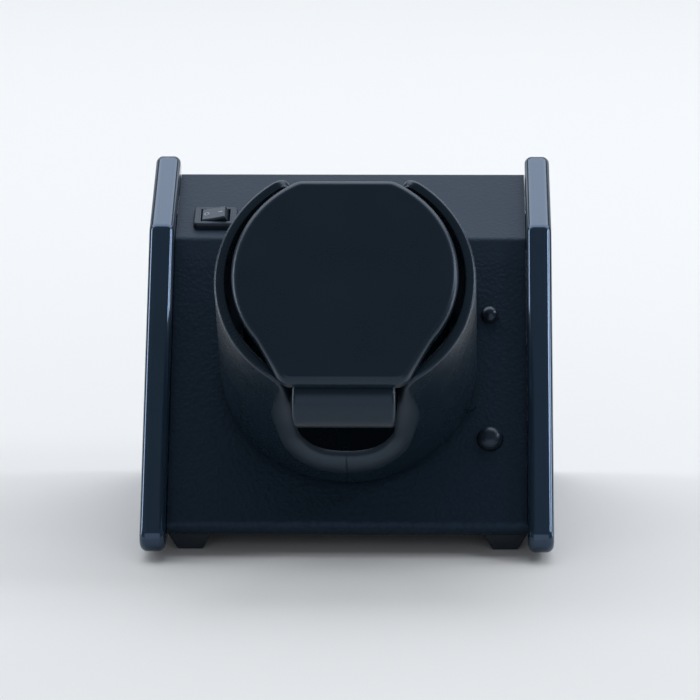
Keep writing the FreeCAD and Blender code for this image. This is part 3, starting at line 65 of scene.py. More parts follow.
MM = 0.001
JOINTS = {joint["name"]: joint for joint in frame["joints"]}
NODES = frame["nodes"]
SLOTS = {name: node.material_slots[0].name.split(".")[0] for name, node in NODES.items()}
AXIS_POINT = np.array(JOINTS["cup_spin"]["pos_m"])
AXIS_OUT = np.array(JOINTS["cup_spin"]["axis"], float)
SLOPE_UP = np.array(JOINTS["jaw_slide"]["axis"], float)
ACROSS = np.array((1.0, 0.0, 0.0))
ROCKER_POINT = np.array(JOINTS["rocker_tilt"]["pos_m"])
TOP_BACK = np.array(JOINTS["rocker_tilt"]["axis"], float)
TOP_OUT = np.cross(ACROSS, TOP_BACK)
COOL_SHEEN = (0.64, 0.78, 1.0)
DEEP_SHEEN = (0.42, 0.62, 1.0)
PANEL_SHEEN = (0.51, 0.69, 1.0)
COOL_LAMP = (0.88, 0.94, 1.0)


def tint(name, text, default):
    """A colour property in linear red, green and blue."""
    return FloatVectorProperty(name=name, description=text, default=default, min=0.0, max=1.0,
                               size=3, subtype="COLOR")


def length(name, text, default):
    """A length property in metres."""
    return FloatProperty(name=name, description=text, default=default, min=0.0, unit="LENGTH")


def angle(name, text, degrees):
    """An angle property whose default is given in degrees."""
    return FloatProperty(name=name, description=text, default=math.radians(degrees), subtype="ANGLE")


class WinderColours(bpy.types.PropertyGroup):
    lacquer: tint("Lacquer", "Gloss side panels", (0.0125, 0.0245, 0.0400))
    shell: tint("Shell", "Grained coating of the bent shell", (0.0085, 0.0155, 0.0240))
    cup: tint("Cup", "Moulded cup", (0.0066, 0.0132, 0.0205))
    holder: tint("Holder", "Moulded holder and jaw", (0.0062, 0.0128, 0.0200))
    switch: tint("Switch", "Rocker switch mouldings", (0.0120, 0.0180, 0.0260))
    button: tint("Button", "Push button", (0.0095, 0.0150, 0.0215))
    lens: tint("Lens", "Smoked indicator lens", (0.0095, 0.0140, 0.0200))
    rubber: tint("Rubber", "Feet", (0.012, 0.019, 0.027))
    steel: tint("Steel", "Plated screws and sheet parts", (0.56, 0.57, 0.58))
    brass: tint("Brass", "Bushes", (0.62, 0.43, 0.18))
    nylon: tint("Nylon", "Gears", (0.72, 0.69, 0.60))
    board: tint("Board", "Solder mask of the circuit board", (0.012, 0.105, 0.040))
    copper: tint("Copper", "Traces under the solder mask", (0.030, 0.190, 0.070))
    sleeve: tint("Sleeve", "Cell wrap", (0.030, 0.080, 0.220))
    mark: tint("Mark", "Printed marks of the rocker", (0.30, 0.35, 0.42))


class WinderSizes(bpy.types.PropertyGroup):
    shell_grain: length("Shell grain", "Width of one pebble of the shell's grain", 0.00105)
    shell_relief: length("Shell relief", "Height of the shell's grain", 0.00019)
    head_dome: length("Screw dome", "Rise of a screw head to its middle", 0.00045)
    head_edge: length("Screw edge", "Height of a screw head's edge", 0.00018)
    recess_depth: length("Screw recess", "Depth of a screw's cross recess", 0.00050)
    moulding_grain: length("Moulding grain", "Width of the fine texture of the mouldings", 0.0004)
    lacquer_peel: length("Lacquer peel", "Width of the lacquer's faint waves", 0.0045)
    notch_mouth: length("Notch mouth", "Half width of the cup's notch at the rim, along the outside", 0.0179)
    notch_foot: length("Notch foot", "Half width of the cup's notch at its floor, along the outside", 0.0149)
    neck_round: length("Neck round", "Round where the notch meets the rim", 0.0050)
    notch_round: length("Notch round", "Round in the notch's lower corners", 0.0100)
    rim_lip: length("Rim lip", "Size of the rounding on the rim", 0.0010)
    notch_lip: length("Notch lip", "Width of the rounding along the notch", 0.0052)
    seam_width: length("Seam width", "Width of the mould seam under the notch", 0.00016)
    seam_depth: length("Seam depth", "Depth of the mould seam", 0.00022)
    mark_spacing: length("Mark spacing", "Distance between the rocker's two marks", 0.0041)
    mark_height: length("Mark height", "Thickness of the printed marks", 0.00006)


class WinderStage(bpy.types.PropertyGroup):
    target: FloatVectorProperty(name="Target", description="Point that the camera looks at", size=3,
                                default=(0.00036, 0.00396, 0.05394), subtype="TRANSLATION", unit="LENGTH")
    distance: length("Distance", "Camera to target", 1.3004)
    elevation: angle("Elevation", "Camera height angle", 13.6)
    azimuth: angle("Azimuth", "Camera swing round the box", 1.21)
    roll: angle("Roll", "Camera turn about its own line of sight", -0.14)
    lens: FloatProperty(name="Lens", description="Focal length in millimetres", default=227.0, min=1.0)
    floor: tint("Floor", "Plain floor", (0.80, 0.775, 0.75))
    world: tint("World", "Light from all round", (0.15, 0.16, 0.175))


class Wire:
    """A shader value on which Python's signs of arithmetic add the matching Math node."""

    def __init__(self, finish, socket):
        self.finish, self.socket = finish, socket

    def sum(self, operation, first, second):
        return self.finish.node("ShaderNodeMath", {"operation": operation}, {0: first, 1: second})

    def __add__(self, other):
        return self.sum("ADD", self, other)

    def __sub__(self, other):
        return self.sum("SUBTRACT", self, other)

    def __rsub__(self, other):
        return self.sum("SUBTRACT", other, self)

    def __mul__(self, other):
        return self.sum("MULTIPLY", self, other)

    __radd__ = __add__
    __rmul__ = __mul__


class Finish:
    """One procedural material whose patterns are worked out from Object coordinates, in metres."""

    def __init__(self, name):
        self.material = bpy.data.materials.new(name)
        self.material.use_nodes = True
        self.tree = self.material.node_tree
        self.tree.nodes.clear()
        self.place = self.node("ShaderNodeTexCoord", {}, {}, "Object")

    def node(self, kind, settings, values, result=0):
        """Adds a node of any kind: its settings first, then the values or links of its sockets."""
        node = self.tree.nodes.new(kind)
        for name, value in settings.items():
            setattr(node, name, value)
        for name, value in values.items():
            if isinstance(value, Wire):
                self.tree.links.new(value.socket, node.inputs[name])
            else:
                node.inputs[name].default_value = value
        return Wire(self, node.outputs[result]) if len(node.outputs) else None

    def noise(self, size, detail, place=None):
        """Smooth noise from 0 to 1 whose lumps are about size metres wide."""
        return self.node("ShaderNodeTexNoise", {},
                         {"Vector": place or self.place, "Scale": 1.0 / size, "Detail": detail})

    def pebbles(self, size):
        """Rounded cells about size metres wide: distance from the nearest cell centre."""
        return self.node("ShaderNodeTexVoronoi", {"feature": "SMOOTH_F1"},
                         {"Vector": self.place, "Scale": 1.0 / size, "Smoothness": 1.0}, "Distance")

    def stretch(self, scale):
        """Object coordinates multiplied by three factors, for patterns drawn out along an axis."""
        return self.node("ShaderNodeVectorMath", {"operation": "MULTIPLY"}, {0: self.place, 1: scale})

    def along(self, direction, origin):
        """Distance of the surface point from a plane through origin, square to direction."""
        moved = self.node("ShaderNodeVectorMath", {"operation": "SUBTRACT"},
                          {0: self.place, 1: tuple(origin)})
        return self.node("ShaderNodeVectorMath", {"operation": "DOT_PRODUCT"},
                         {0: moved, 1: tuple(direction)}, "Value")

    def range(self, value, low, high):
        """0 below low, 1 above high, with an eased step between."""
        return self.node("ShaderNodeMapRange", {"interpolation_type": "SMOOTHSTEP"},
                         {"Value": value, "From Min": low, "From Max": high})

    def mix(self, factor, first, second):
        """A colour between two colours."""
        pair = {0: factor}
        for socket, colour in ((6, first), (7, second)):
            pair[socket] = colour if isinstance(colour, Wire) else (*colour, 1.0)
        return self.node("ShaderNodeMix", {"data_type": "RGBA"}, pair, 2)

    def bump(self, height, distance):
        """A normal bent by a height from 0 to 1 that stands for distance metres."""
        return self.node("ShaderNodeBump", {}, {"Height": height, "Distance": distance, "Strength": 1.0})

    def surface(self, **values):
        """The shader: socket names in lower case with _ for a space, as constants or wires."""
        sockets = {}
        for name, value in values.items():
            label = name.replace("_", " ").title().replace("Ior", "IOR")
            sockets[label] = (*value, 1.0) if isinstance(value, (tuple, list)) and len(value) == 3 else value
        shader = self.node("ShaderNodeBsdfPrincipled", {}, sockets)
        self.node("ShaderNodeOutputMaterial", {}, {"Surface": shader})
        return self.material


def scaled(colour, factor):
    """A colour made lighter or darker."""
    return tuple(min(1.0, value * factor) for value in colour)


def colours():
    return bpy.context.scene.winder_colours


def sizes():
    return bpy.context.scene.winder_sizes


def gloss_lacquer(name, colour):
    """Deep gloss lacquer: faint long waves, a slow change of polish and fine dust-like specks."""
    f = Finish(name)
    cloud = f.noise(0.03, 3.0)
    wave = f.noise(sizes().lacquer_peel, 1.0)
    speck = f.range(f.noise(0.0006, 1.0), 0.70, 0.78)
    return f.surface(base_color=f.mix(cloud, scaled(colour, 0.85), scaled(colour, 1.2)),
                     roughness=0.07 + 0.07 * cloud + 0.05 * speck, specular_ior_level=1.0,
                     specular_tint=PANEL_SHEEN, normal=f.bump(wave, 0.000012))


def grained_coat(name, colour):
    """Pebbled coating: small rounded cells broken up by noise, duller in the hollows, and flatter and duller
    on the top."""
    f = Finish(name)
    size = sizes().shell_grain
    pebble = f.pebbles(size)
    fine = f.noise(size * 0.7, 2.0)
    cloud = f.noise(0.02, 3.0)
    flat = f.range(f.along(TOP_OUT, ROCKER_POINT), -0.005, -0.001)
    height = (0.7 * pebble + 0.45 * fine) * (1.0 - 0.55 * flat)
    shade = f.range(height, 0.35, 0.85)
    return f.surface(base_color=f.mix(shade, scaled(colour, 1.2), scaled(colour, 0.8)),
                     roughness=0.36 + 0.08 * shade + 0.05 * cloud + 0.09 * flat, specular_ior_level=0.30,
                     specular_tint=DEEP_SHEEN, normal=f.bump(height, sizes().shell_relief))


def satin_moulding(name, colour, rough=0.24, relief=0.000003, painted_highlight_gain=1.0):
    """Moulded plastic: very fine spark texture and a slow change of sheen; a painted highlight makes it
    greyer and lighter by the given factor where the piece carries the highlight attribute."""
    f = Finish(name)
    spark = f.noise(sizes().moulding_grain, 2.0)
    cloud = f.noise(0.018, 3.0)
    skin = f.mix(cloud, scaled(colour, 0.88), scaled(colour, 1.15))
    sheen = rough + 0.10 * cloud + 0.04 * spark
    if painted_highlight_gain != 1.0:
        # Painted highlight: where the attribute is high the colour turns lighter and greyer and the surface
        # rougher.
        rub = f.node("ShaderNodeAttribute", {"attribute_name": "rub"}, {}, "Fac")
        grey = sum(colour) / 3
        painted_highlight_colour = tuple(painted_highlight_gain * (0.55 * value + 0.45 * grey) for value in colour)
        skin = f.mix(rub * (0.85 + 0.3 * spark), skin, painted_highlight_colour)
        sheen = sheen + 0.16 * rub
    return f.surface(base_color=skin, roughness=sheen, specular_tint=COOL_SHEEN, normal=f.bump(spark, relief))


def rubber(name, colour):
    """Matt rubber with a fine moulded tooth."""
    f = Finish(name)
    tooth = f.noise(0.0005, 3.0)
    cloud = f.noise(0.008, 2.0)
    return f.surface(base_color=f.mix(cloud, scaled(colour, 0.8), scaled(colour, 1.3)),
                     roughness=0.70 + 0.15 * tooth, normal=f.bump(tooth, 0.00003))


def plated_metal(name, colour, rough=0.24, grain=(1.0, 1.0, 14.0)):
    """Plated or rolled metal: fine lines drawn out along one axis, with cloudy polish."""
    f = Finish(name)
    lines = f.noise(0.004, 3.0, f.stretch(grain))
    cloud = f.noise(0.006, 3.0)
    return f.surface(base_color=f.mix(cloud, scaled(colour, 0.82), scaled(colour, 1.06)), metallic=1.0,
                     roughness=rough + 0.14 * lines + 0.06 * cloud, normal=f.bump(lines, 0.000004))


def nylon(name, colour):
    """Natural nylon: waxy, slightly cloudy, with faint flow lines."""
    f = Finish(name)
    flow = f.noise(0.003, 4.0)
    return f.surface(base_color=f.mix(flow, scaled(colour, 0.86), scaled(colour, 1.05)),
                     roughness=0.38 + 0.16 * flow, subsurface_weight=0.08, normal=f.bump(flow, 0.00001))


def solder_mask(name, mask, copper):
    """Circuit board: traces as bands of brick-like cells under a glossy mask, with a fine weave."""
    f = Finish(name)
    lanes = f.node("ShaderNodeTexBrick", {"offset": 0.37, "squash": 1.0},
                   {"Vector": f.stretch((1.0, 1.3, 1.0)), "Scale": 160.0, "Mortar Size": 0.16,
                    "Mortar Smooth": 0.1, "Color1": (0, 0, 0, 1), "Color2": (0, 0, 0, 1),
                    "Mortar": (1, 1, 1, 1)}, "Fac")
    weave = f.noise(0.0008, 2.0)
    return f.surface(base_color=f.mix(lanes * (0.75 + 0.25 * weave), mask, copper),
                     roughness=0.30 + 0.12 * weave, coat_weight=0.4, normal=f.bump(lanes, 0.00003))


def sleeve_wrap(name, colour):
    """Shrunk cell wrap: glossy film with slight ripples and scuffed, lighter places."""
    f = Finish(name)
    ripple = f.noise(0.005, 2.0)
    # Wear of the wrap: lighter, rougher places at random.
    rub = f.range(f.noise(0.011, 4.0), 0.55, 0.8)
    return f.surface(base_color=f.mix(rub, colour, scaled(colour, 1.6)), roughness=0.22 + 0.2 * rub,
                     coat_weight=0.3, normal=f.bump(ripple, 0.00003))


def wire_jacket(name, colour):
    """Soft insulation of a lead, with faint marks of handling."""
    f = Finish(name)
    soil = f.noise(0.004, 3.0)
    return f.surface(base_color=f.mix(soil, scaled(colour, 0.8), scaled(colour, 1.1)),
                     roughness=0.42 + 0.2 * soil, normal=f.bump(soil, 0.00001))


def smoked_lens(name, colour):
    """Smoked dome: a satin skin with slight waves over a dark, cloudy body."""
    f = Finish(name)
    skin = f.noise(0.0012, 1.0)
    return f.surface(base_color=f.mix(skin, scaled(colour, 0.9), scaled(colour, 1.1)),
                     roughness=0.20 + 0.08 * skin, specular_tint=COOL_SHEEN, normal=f.bump(skin, 0.000003))


FINISHES = {
    "side_gloss": lambda c: gloss_lacquer("deep_gloss_lacquer", tuple(c.lacquer)),
    "shell_grain": lambda c: grained_coat("grained_shell_coat", tuple(c.shell)),
    # The cup carries a painted highlight on its lip, lightened by the factor 3.1.
    "cup_satin": lambda c: satin_moulding("satin_cup_moulding", tuple(c.cup), 0.20, 0.000001, painted_highlight_gain=3.1),
    "holder_satin": lambda c: satin_moulding("satin_holder_moulding", tuple(c.holder), 0.22, 0.000001),
    "foot_rubber": lambda c: rubber("matt_rubber", tuple(c.rubber)),
    "switch_black": lambda c: satin_moulding("switch_moulding", tuple(c.switch), 0.40, 0.00001),
    "button_gloss": lambda c: satin_moulding("gloss_button", tuple(c.button), 0.26),
    "lens_smoke": lambda c: smoked_lens("smoked_lens", tuple(c.lens)),
    "screw_steel": lambda c: plated_metal("plated_screw_steel", tuple(c.steel), 0.22, (1.0, 1.0, 1.0)),
    "sheet_steel": lambda c: plated_metal("rolled_sheet_steel", scaled(c.steel, 0.92), 0.30),
    "motor_metal": lambda c: plated_metal("drawn_motor_can", scaled(c.steel, 0.9), 0.26, (14.0, 1.0, 1.0)),
    "bush_brass": lambda c: plated_metal("turned_brass", tuple(c.brass), 0.24),
    "gear_nylon": lambda c: nylon("natural_nylon", tuple(c.nylon)),
    "board_green": lambda c: solder_mask("solder_mask", tuple(c.board), tuple(c.copper)),
    "chip_black": lambda c: satin_moulding("chip_moulding", (0.012, 0.012, 0.013), 0.5, 0.00001),
    "spring_steel": lambda c: plated_metal("spring_wire", scaled(c.steel, 0.95), 0.18, (6.0, 6.0, 6.0)),
    "cell_wrap": lambda c: sleeve_wrap("cell_sleeve", tuple(c.sleeve)),
    "rocker_mark": lambda c: nylon("pale_mark_ink", tuple(c.mark)),
    "wire_red": lambda c: wire_jacket("red_lead", (0.40, 0.018, 0.014)),
    "wire_black": lambda c: wire_jacket("black_lead", (0.012, 0.012, 0.013)),
    "wire_blue": lambda c: wire_jacket("blue_lead", (0.020, 0.070, 0.33)),
}
made_finishes = {}


def finish_of(slot):
    """The material of a slot, made at its first use."""
    if slot not in made_finishes:
        made_finishes[slot] = FINISHES[slot](colours())
    return made_finishes[slot]


def dress(*names):
    """Gives each named solid the finish of its own slot."""
    for name in names:
        for slot in NODES[name].material_slots:
            slot.material = finish_of(SLOTS[name])


def slope_points(u, v, w):
    """Points of the slanted front in metres, from millimetres across, up the slope and out from it."""
    u, v, w = np.broadcast_arrays(u, v, w)
    return AXIS_POINT + MM * (u[..., None] * ACROSS + v[..., None] * SLOPE_UP + w[..., None] * AXIS_OUT)


def top_points(u, v, w):
    """Points of the rocker's frame: across, up the sloping top and out from it, about its pivot."""
    u, v, w = np.broadcast_arrays(u, v, w)
    return ROCKER_POINT + MM * (u[..., None] * ACROSS + v[..., None] * TOP_BACK + w[..., None] * TOP_OUT)


def grid_faces(rows, columns, wrap_rows, wrap_columns):
    """One face for every four neighbours of a grid; a wrapped side joins its last line to its first."""
    i = np.arange(rows if wrap_rows else rows - 1)[:, None]
    j = np.arange(columns if wrap_columns else columns - 1)[None, :]
    below, right = (i + 1) % rows, (j + 1) % columns
    corners = np.broadcast_arrays(i * columns + j, i * columns + right,
                                  below * columns + right, below * columns + j)
    return np.stack(corners, -1).reshape(-1, 4)


def grid_piece(name, grids, slot, body, replaced=(), crease=40.0, finish=None):
    """A piece from grids of points, each given as (points, wrap_rows, wrap_columns). Doubled points at poles
    and seams are merged, faces are turned outwards and only edges sharper than crease stay hard."""
    points, faces, count = [], [], 0
    for spots, wrap_rows, wrap_columns in grids:
        faces.append(grid_faces(*spots.shape[:2], wrap_rows, wrap_columns) + count)
        points.append(spots.reshape(-1, 3))
        count += len(points[-1])
    mesh = bpy.data.meshes.new(name)
    mesh.from_pydata(np.concatenate(points).tolist(), [], np.concatenate(faces).tolist())
    work = bmesh.new()
    work.from_mesh(mesh)
    bmesh.ops.remove_doubles(work, verts=work.verts, dist=1e-7)
    bmesh.ops.recalc_face_normals(work, faces=work.faces)
    work.to_mesh(mesh)
    work.free()
    mesh.shade_smooth()
    mesh.set_sharp_from_angle(angle=math.radians(crease))
    mesh.materials.append(finish_of(finish or slot))
    piece = bpy.data.objects.new(name, mesh)
    bpy.context.scene.collection.objects.link(piece)
    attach(piece, body)
    if replaced:
        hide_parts(*replaced)
    return piece


def rounded_path(corners, rounds, step):
    """An open line through corners, each inner corner replaced by an arc of its own radius that touches both
    sides, sampled about every step."""
    corners = np.asarray(corners, float)
    runs, start = [], corners[0]
    for before, corner, after, radius in zip(corners, corners[1:], corners[2:], rounds):
        a, b = before - corner, after - corner
        a, b = a / np.linalg.norm(a), b / np.linalg.norm(b)
        half = math.acos(np.clip(a @ b, -1, 1)) / 2
        reach = radius / math.tan(half)
        middle = corner + (a + b) / np.linalg.norm(a + b) * radius / math.sin(half)
        first, last = corner + a * reach, corner + b * reach
        runs.append(sampled(start, first, step))
        turn = math.pi - 2 * half
        share = np.linspace(0, 1, max(3, int(radius * turn / step * 1.6)), endpoint=False)[:, None]
        arm, end = first - middle, last - middle
        runs.append(middle + (np.sin((1 - share) * turn) * arm + np.sin(share * turn) * end) / math.sin(turn))
        start = last
    runs.append(sampled(start, corners[-1], step))
    return np.concatenate(runs + [corners[-1:]])


def sampled(first, last, step):
    """Evenly spaced points of a straight run, without its end."""
    count = max(1, int(np.linalg.norm(last - first) / step))
    return first + (last - first) * np.linspace(0, 1, count, endpoint=False)[:, None]


def turned(profile, count, place):
    """A profile of radii and heights turned round its axis; place puts across, up and out into the frame."""
    angle = np.linspace(0, 2 * np.pi, count, endpoint=False)
    radius, height = np.asarray(profile, float).T
    radius, height = radius[:, None], height[:, None]
    return place(radius * np.cos(angle), radius * np.sin(angle), height + 0 * angle)


def oblongs(rows, corner, place, count=6):
    """Rounded oblongs stacked into a grid. Each row gives two half lengths and a height; a row with no length
    is a pole. Every corner is an arc of the corner radius, or less where the oblong is smaller."""
    turn = np.radians(np.linspace(0, 90, count))[None, :] + np.radians([[0], [90], [180], [270]])
    turn = turn.reshape(-1)
    signs = np.repeat(np.array([(1, 1), (-1, 1), (-1, -1), (1, -1)]), count, axis=0)
    half, height = np.asarray(rows, float)[:, :2], np.asarray(rows, float)[:, 2]
    radius = np.minimum(corner, half.min(axis=1))[:, None]
    u = signs[:, 0] * (half[:, :1] - radius) + radius * np.cos(turn)
    v = signs[:, 1] * (half[:, 1:] - radius) + radius * np.sin(turn)
    return place(u, v, height[:, None] + 0 * u)


def loose_parts(mesh):
    """The points of each loose part of a mesh. Points in one place count as one; every point starts with its
    own number and takes the lowest number met along its edges until none changes."""
    points = np.empty(len(mesh.vertices) * 3)
    mesh.vertices.foreach_get("co", points)
    edges = np.empty(len(mesh.edges) * 2, np.int32)
    mesh.edges.foreach_get("vertices", edges)
    points, place = np.unique(points.reshape(-1, 3).round(7), axis=0, return_inverse=True)
    first, last = place.reshape(-1)[edges.reshape(-1, 2)].T
    number, lower = None, np.arange(len(points))
    while number is None or (lower != number).any():
        number, lower = lower, lower.copy()
        np.minimum.at(lower, first, number[last])
        np.minimum.at(lower, last, number[first])
    return [points[number == part] for part in np.unique(number)]


def screw_ends(name):
    """The middle of each screw head's face, its outward axis and its radius. The axis is the direction whose
    spread differs most from the other two; the head is at the end that reaches further from it."""
    ends, near = [], 1e-5
    for points in loose_parts(NODES[name].data):
        middle = points.mean(axis=0)
        spread, directions = np.linalg.eigh(np.cov((points - middle).T))
        axis = directions[:, 2 if spread[2] - spread[1] > spread[1] - spread[0] else 0]
        along = (points - middle) @ axis
        away = np.linalg.norm(points - middle - along[:, None] * axis, axis=1)
        high, low = away[along > along.max() - near].max(), away[along < along.min() + near].max()
        way = 1.0 if high > low else -1.0
        ends.append((middle + axis * way * (way * along).max(), axis * way, max(high, low)))
    return ends


def cross_head(middle, axis, radius, turn):
    """A low domed screw head with a cross recess. The dome falls with the square of the distance from the
    axis; two crossed bars with eased walls are sunk into it, and a skirt under its edge closes at a pole."""
    size = sizes()
    rings, spokes, reach = 28, 96, 0.97
    half_width, half_length = (0.15, 0.21), (0.56, 0.64)
    share = np.append(np.linspace(0, 1, rings), (1.0, 0.0))[:, None]
    angle = np.linspace(0, 2 * np.pi, spokes, endpoint=False)
    u, v = share * np.cos(angle), share * np.sin(angle)

    def bar(along, aside):
        return (1 - eased(abs(aside), *half_width)) * (1 - eased(abs(along), *half_length))

    recess = size.recess_depth * np.maximum(bar(u, v), bar(v, u))
    height = size.head_edge + size.head_dome * (1 - share ** 2) - recess
    height[-2:] = -size.head_edge
    up = np.cross(axis, ACROSS)
    across = np.cross(up, axis)
    out = reach * radius
    u, v = u * math.cos(turn) - v * math.sin(turn), u * math.sin(turn) + v * math.cos(turn)
    return middle + out * (u[..., None] * across + v[..., None] * up) + height[..., None] * axis


def coil(across, low, high, out, radius, wire, turns):
    """A round wire carried along a helix that climbs the slope from low to high, closed to a pole at each
    end. Each section lies across the helix's tangent."""
    steps_a_turn, sides = 36, 10
    angle = np.linspace(0, 2 * np.pi * turns, steps_a_turn * turns + 1)
    climb = (high - low - 2 * wire) / angle[-1]
    line = np.stack([across + radius * np.cos(angle), low + wire + climb * angle,
                     out + radius * np.sin(angle)], -1)
    tangent = np.stack([-radius * np.sin(angle), 0 * angle + climb, radius * np.cos(angle)], -1)
    tangent /= np.linalg.norm(tangent, axis=-1, keepdims=True)
    away = np.stack([np.cos(angle), 0 * angle, np.sin(angle)], -1)
    over = np.cross(tangent, away)
    turn = np.linspace(0, 2 * np.pi, sides, endpoint=False)[:, None]
    ring = line[:, None] + wire * (np.cos(turn) * away[:, None] + np.sin(turn) * over[:, None])
    ends = np.broadcast_to(line[[0, -1], None], (2, *ring.shape[1:]))
    return slope_points(*np.moveaxis(np.concatenate([ends[:1], ring, ends[1:]]), -1, 0))


def eased(value, low, high):
    """0 below low, 1 above high, with a smooth step between."""
    share = np.clip((value - low) / (high - low), 0, 1)
    return share * share * (3 - 2 * share)


class WINDER_OT_side_panels(bpy.types.Operator):
    """Lacquers the two side panels."""
    bl_idname = "winder.side_panels"
    bl_label = "Side panels"

    def execute(self, context):
        dress("left_side_panel", "right_side_panel")
        return {"FINISHED"}


class WINDER_OT_cup(bpy.types.Operator):
    """Builds the cup: its wall is a section carried round the line of the rim and the notch.
    The line lies on the unrolled wall as (distance round, height). At each of its points the section runs
    from the bore along the foot, up the outer wall, over the lip as two quarter ellipses, down the inner wall
    and back along the floor. The wall's columns fan from the line to evenly spread angles at the foot."""
    bl_idname = "winder.cup"
    bl_label = "Cup"

    def execute(self, context):
        dress("cup_hub", "cup_posts")
        size = context.scene.winder_sizes
        rim_out, foot_out, rim_in, foot_in = 37.0, 37.8, 34.0, 33.4
        rim, foot, floor, notch_floor, bore = 61.8, 2.2, 5.2, 16.8, 3.05
        foot_round, floor_round, inner, edge = 1.2, 2.2, 0.5, 0.3
        line_step, lip_growth, wall_lean, groove_reach = 0.8, 22.0, 0.013, 0.7
        mouth, base = size.notch_mouth / MM, size.notch_foot / MM
        turn = 2 * math.pi * rim_out
        neck, corner = size.neck_round / MM, size.notch_round / MM
        notch = np.array([(-mouth, rim), (-base, notch_floor), (base, notch_floor), (mouth, rim)])
        line = rounded_path([(-turn / 4, rim), *notch, *(notch + [turn / 2, 0]), (turn * 3 / 4, rim)],
                            [neck, corner, corner, neck] * 2, line_step)[:-1]
        low = line[:, 1] < notch_floor + 0.01
        line = line[~(low & (abs(line[:, 0]) < groove_reach))]
        groove = np.array([-0.5, -0.3, -0.16, -0.08, 0.0, 0.08, 0.16, 0.3, 0.5])
        groove = np.stack([groove, 0 * groove + notch_floor], 1)
        line = np.insert(line, int(np.argmax(line[:, 0] > 0)), groove, axis=0)
        ahead, behind = np.roll(line, -1, 0), np.roll(line, 1, 0)
        ahead[-1, 0] += turn
        behind[0, 0] -= turn
        heading = ahead - behind
        heading /= np.linalg.norm(heading, axis=1)[:, None]
        inward = np.stack([heading[:, 1], -heading[:, 0]], 1)
        steps = np.abs(np.diff(line, axis=0, append=line[:1] + [[turn, 0]]))
        spread = np.concatenate([[0], np.cumsum(steps.sum(axis=1))])
        foot_line = turn * (spread[:-1] / spread[-1] - 0.25)
        deep = eased(rim - line[:, 1], 0.0, lip_growth)
        lip = size.rim_lip / MM + (size.notch_lip - size.rim_lip) / MM * deep
        out_depth = size.rim_lip / MM + (rim_out - rim_in - inner - size.rim_lip / MM) * deep
        width = size.seam_width / MM
        seam = size.seam_depth / MM * np.exp(-(line[:, 0] / width) ** 2) * (line[:, 1] < rim - 1)
        seam_slope = -2 * line[:, 0] / width ** 2 * seam
        level = 0 * foot_line
        rows, normals, painted_highlight_rows = [], [], []

        def outer_radius(height):
            return foot_out + (rim_out - foot_out) * (height - foot) / (rim - foot)

        def inner_radius(height):
            return foot_in + (rim_in - foot_in) * (height - floor) / (rim - floor)

        def row(around, height, radius, outward, aside, upward, rub=0.0):
            """One ring of points; its normal is given outwards, along the ring and up the wall, and its last
            value weights the painted highlight.
            """
            angle = around / rim_out
            sine, cosine = np.sin(angle), np.cos(angle)
            rows.append(np.stack([radius * sine, -radius * cosine, height + level], 1))
            facing = np.stack([outward * sine + aside * cosine, aside * sine - outward * cosine,
                               upward + level], 1)
            normals.append(facing / np.linalg.norm(facing, axis=1)[:, None])
            painted_highlight_rows.append(rub + level)

        row(foot_line, foot + edge, bore, -1.0, 0.0, 0.0)
        row(foot_line, foot, bore + edge, 0.0, 0.0, -1.0)
        for angle in np.radians(np.linspace(-90, -8, 7)):
            sine, cosine = math.sin(angle), math.cos(angle)
            row(foot_line, foot + foot_round + foot_round * sine, foot_out - foot_round + foot_round * cosine,
                cosine, 0.0, sine)
        top = line + inward * lip[:, None]
        for share in np.linspace(0, 1, 26):
            around = foot_line + (top[:, 0] - foot_line) * share
            height = (foot + foot_round) + (top[:, 1] - foot - foot_round) * share
            row(around, height, outer_radius(height) - seam, 1.0, seam_slope, wall_lean,
                deep * eased(share, 0.72, 1.0) * 0.5)
        for angle in np.radians(np.linspace(0, 90, 13)[1:]):
            sine, cosine = math.sin(angle), math.cos(angle)
            spot = line + inward * (lip * (1 - sine))[:, None]
            row(spot[:, 0], spot[:, 1], outer_radius(spot[:, 1]) - seam * cosine - out_depth * (1 - cosine),
                cosine / out_depth, seam_slope * cosine - inward[:, 0] * sine / lip,
                -inward[:, 1] * sine / lip, deep * (0.5 + 0.5 * sine))
        for angle in np.radians(np.linspace(0, 90, 7)[1:]):
            sine, cosine = math.sin(angle), math.cos(angle)
            spot = line + inward * (inner * (1 - cosine))
            row(spot[:, 0], spot[:, 1], inner_radius(spot[:, 1]) + inner * (1 - sine),
                -sine, -inward[:, 0] * cosine, -inward[:, 1] * cosine, deep * cosine)
        top = line + inward * inner
        for share in np.linspace(0, 1, 16)[1:]:
            around = top[:, 0] + (foot_line - top[:, 0]) * share
            height = top[:, 1] + (floor + floor_round - top[:, 1]) * share
            row(around, height, inner_radius(height), -1.0, 0.0, 0.0)
        for angle in np.radians(np.linspace(-10, -90, 7)):
            sine, cosine = math.sin(angle), math.cos(angle)
            row(foot_line, floor + floor_round + floor_round * sine,
                foot_in - floor_round + floor_round * cosine, -cosine, 0.0, -sine)
        row(foot_line, floor, bore + edge, 0.0, 0.0, 1.0)
        row(foot_line, floor - edge, bore, -1.0, 0.0, 0.0)
        section, facing = np.stack(rows), np.stack(normals).reshape(-1, 3)
        wall = slope_points(section[..., 0], section[..., 1], section[..., 2])
        cup = grid_piece("cup", [(wall, True, True)], "cup_satin", "cup", ("cup_shell",))
        # The lip along the notch gets a painted highlight: the attribute lightens its colour, most on the
        # lip's crest, fading down the outer wall and inside.
        cup.data.attributes.new("rub", "FLOAT", "POINT").data.foreach_set("value", np.stack(painted_highlight_rows).reshape(-1))
        facing = facing @ np.stack([ACROSS, SLOPE_UP, AXIS_OUT])
        cup.data.normals_split_custom_set_from_vertices(facing.tolist())
        return {"FINISHED"}


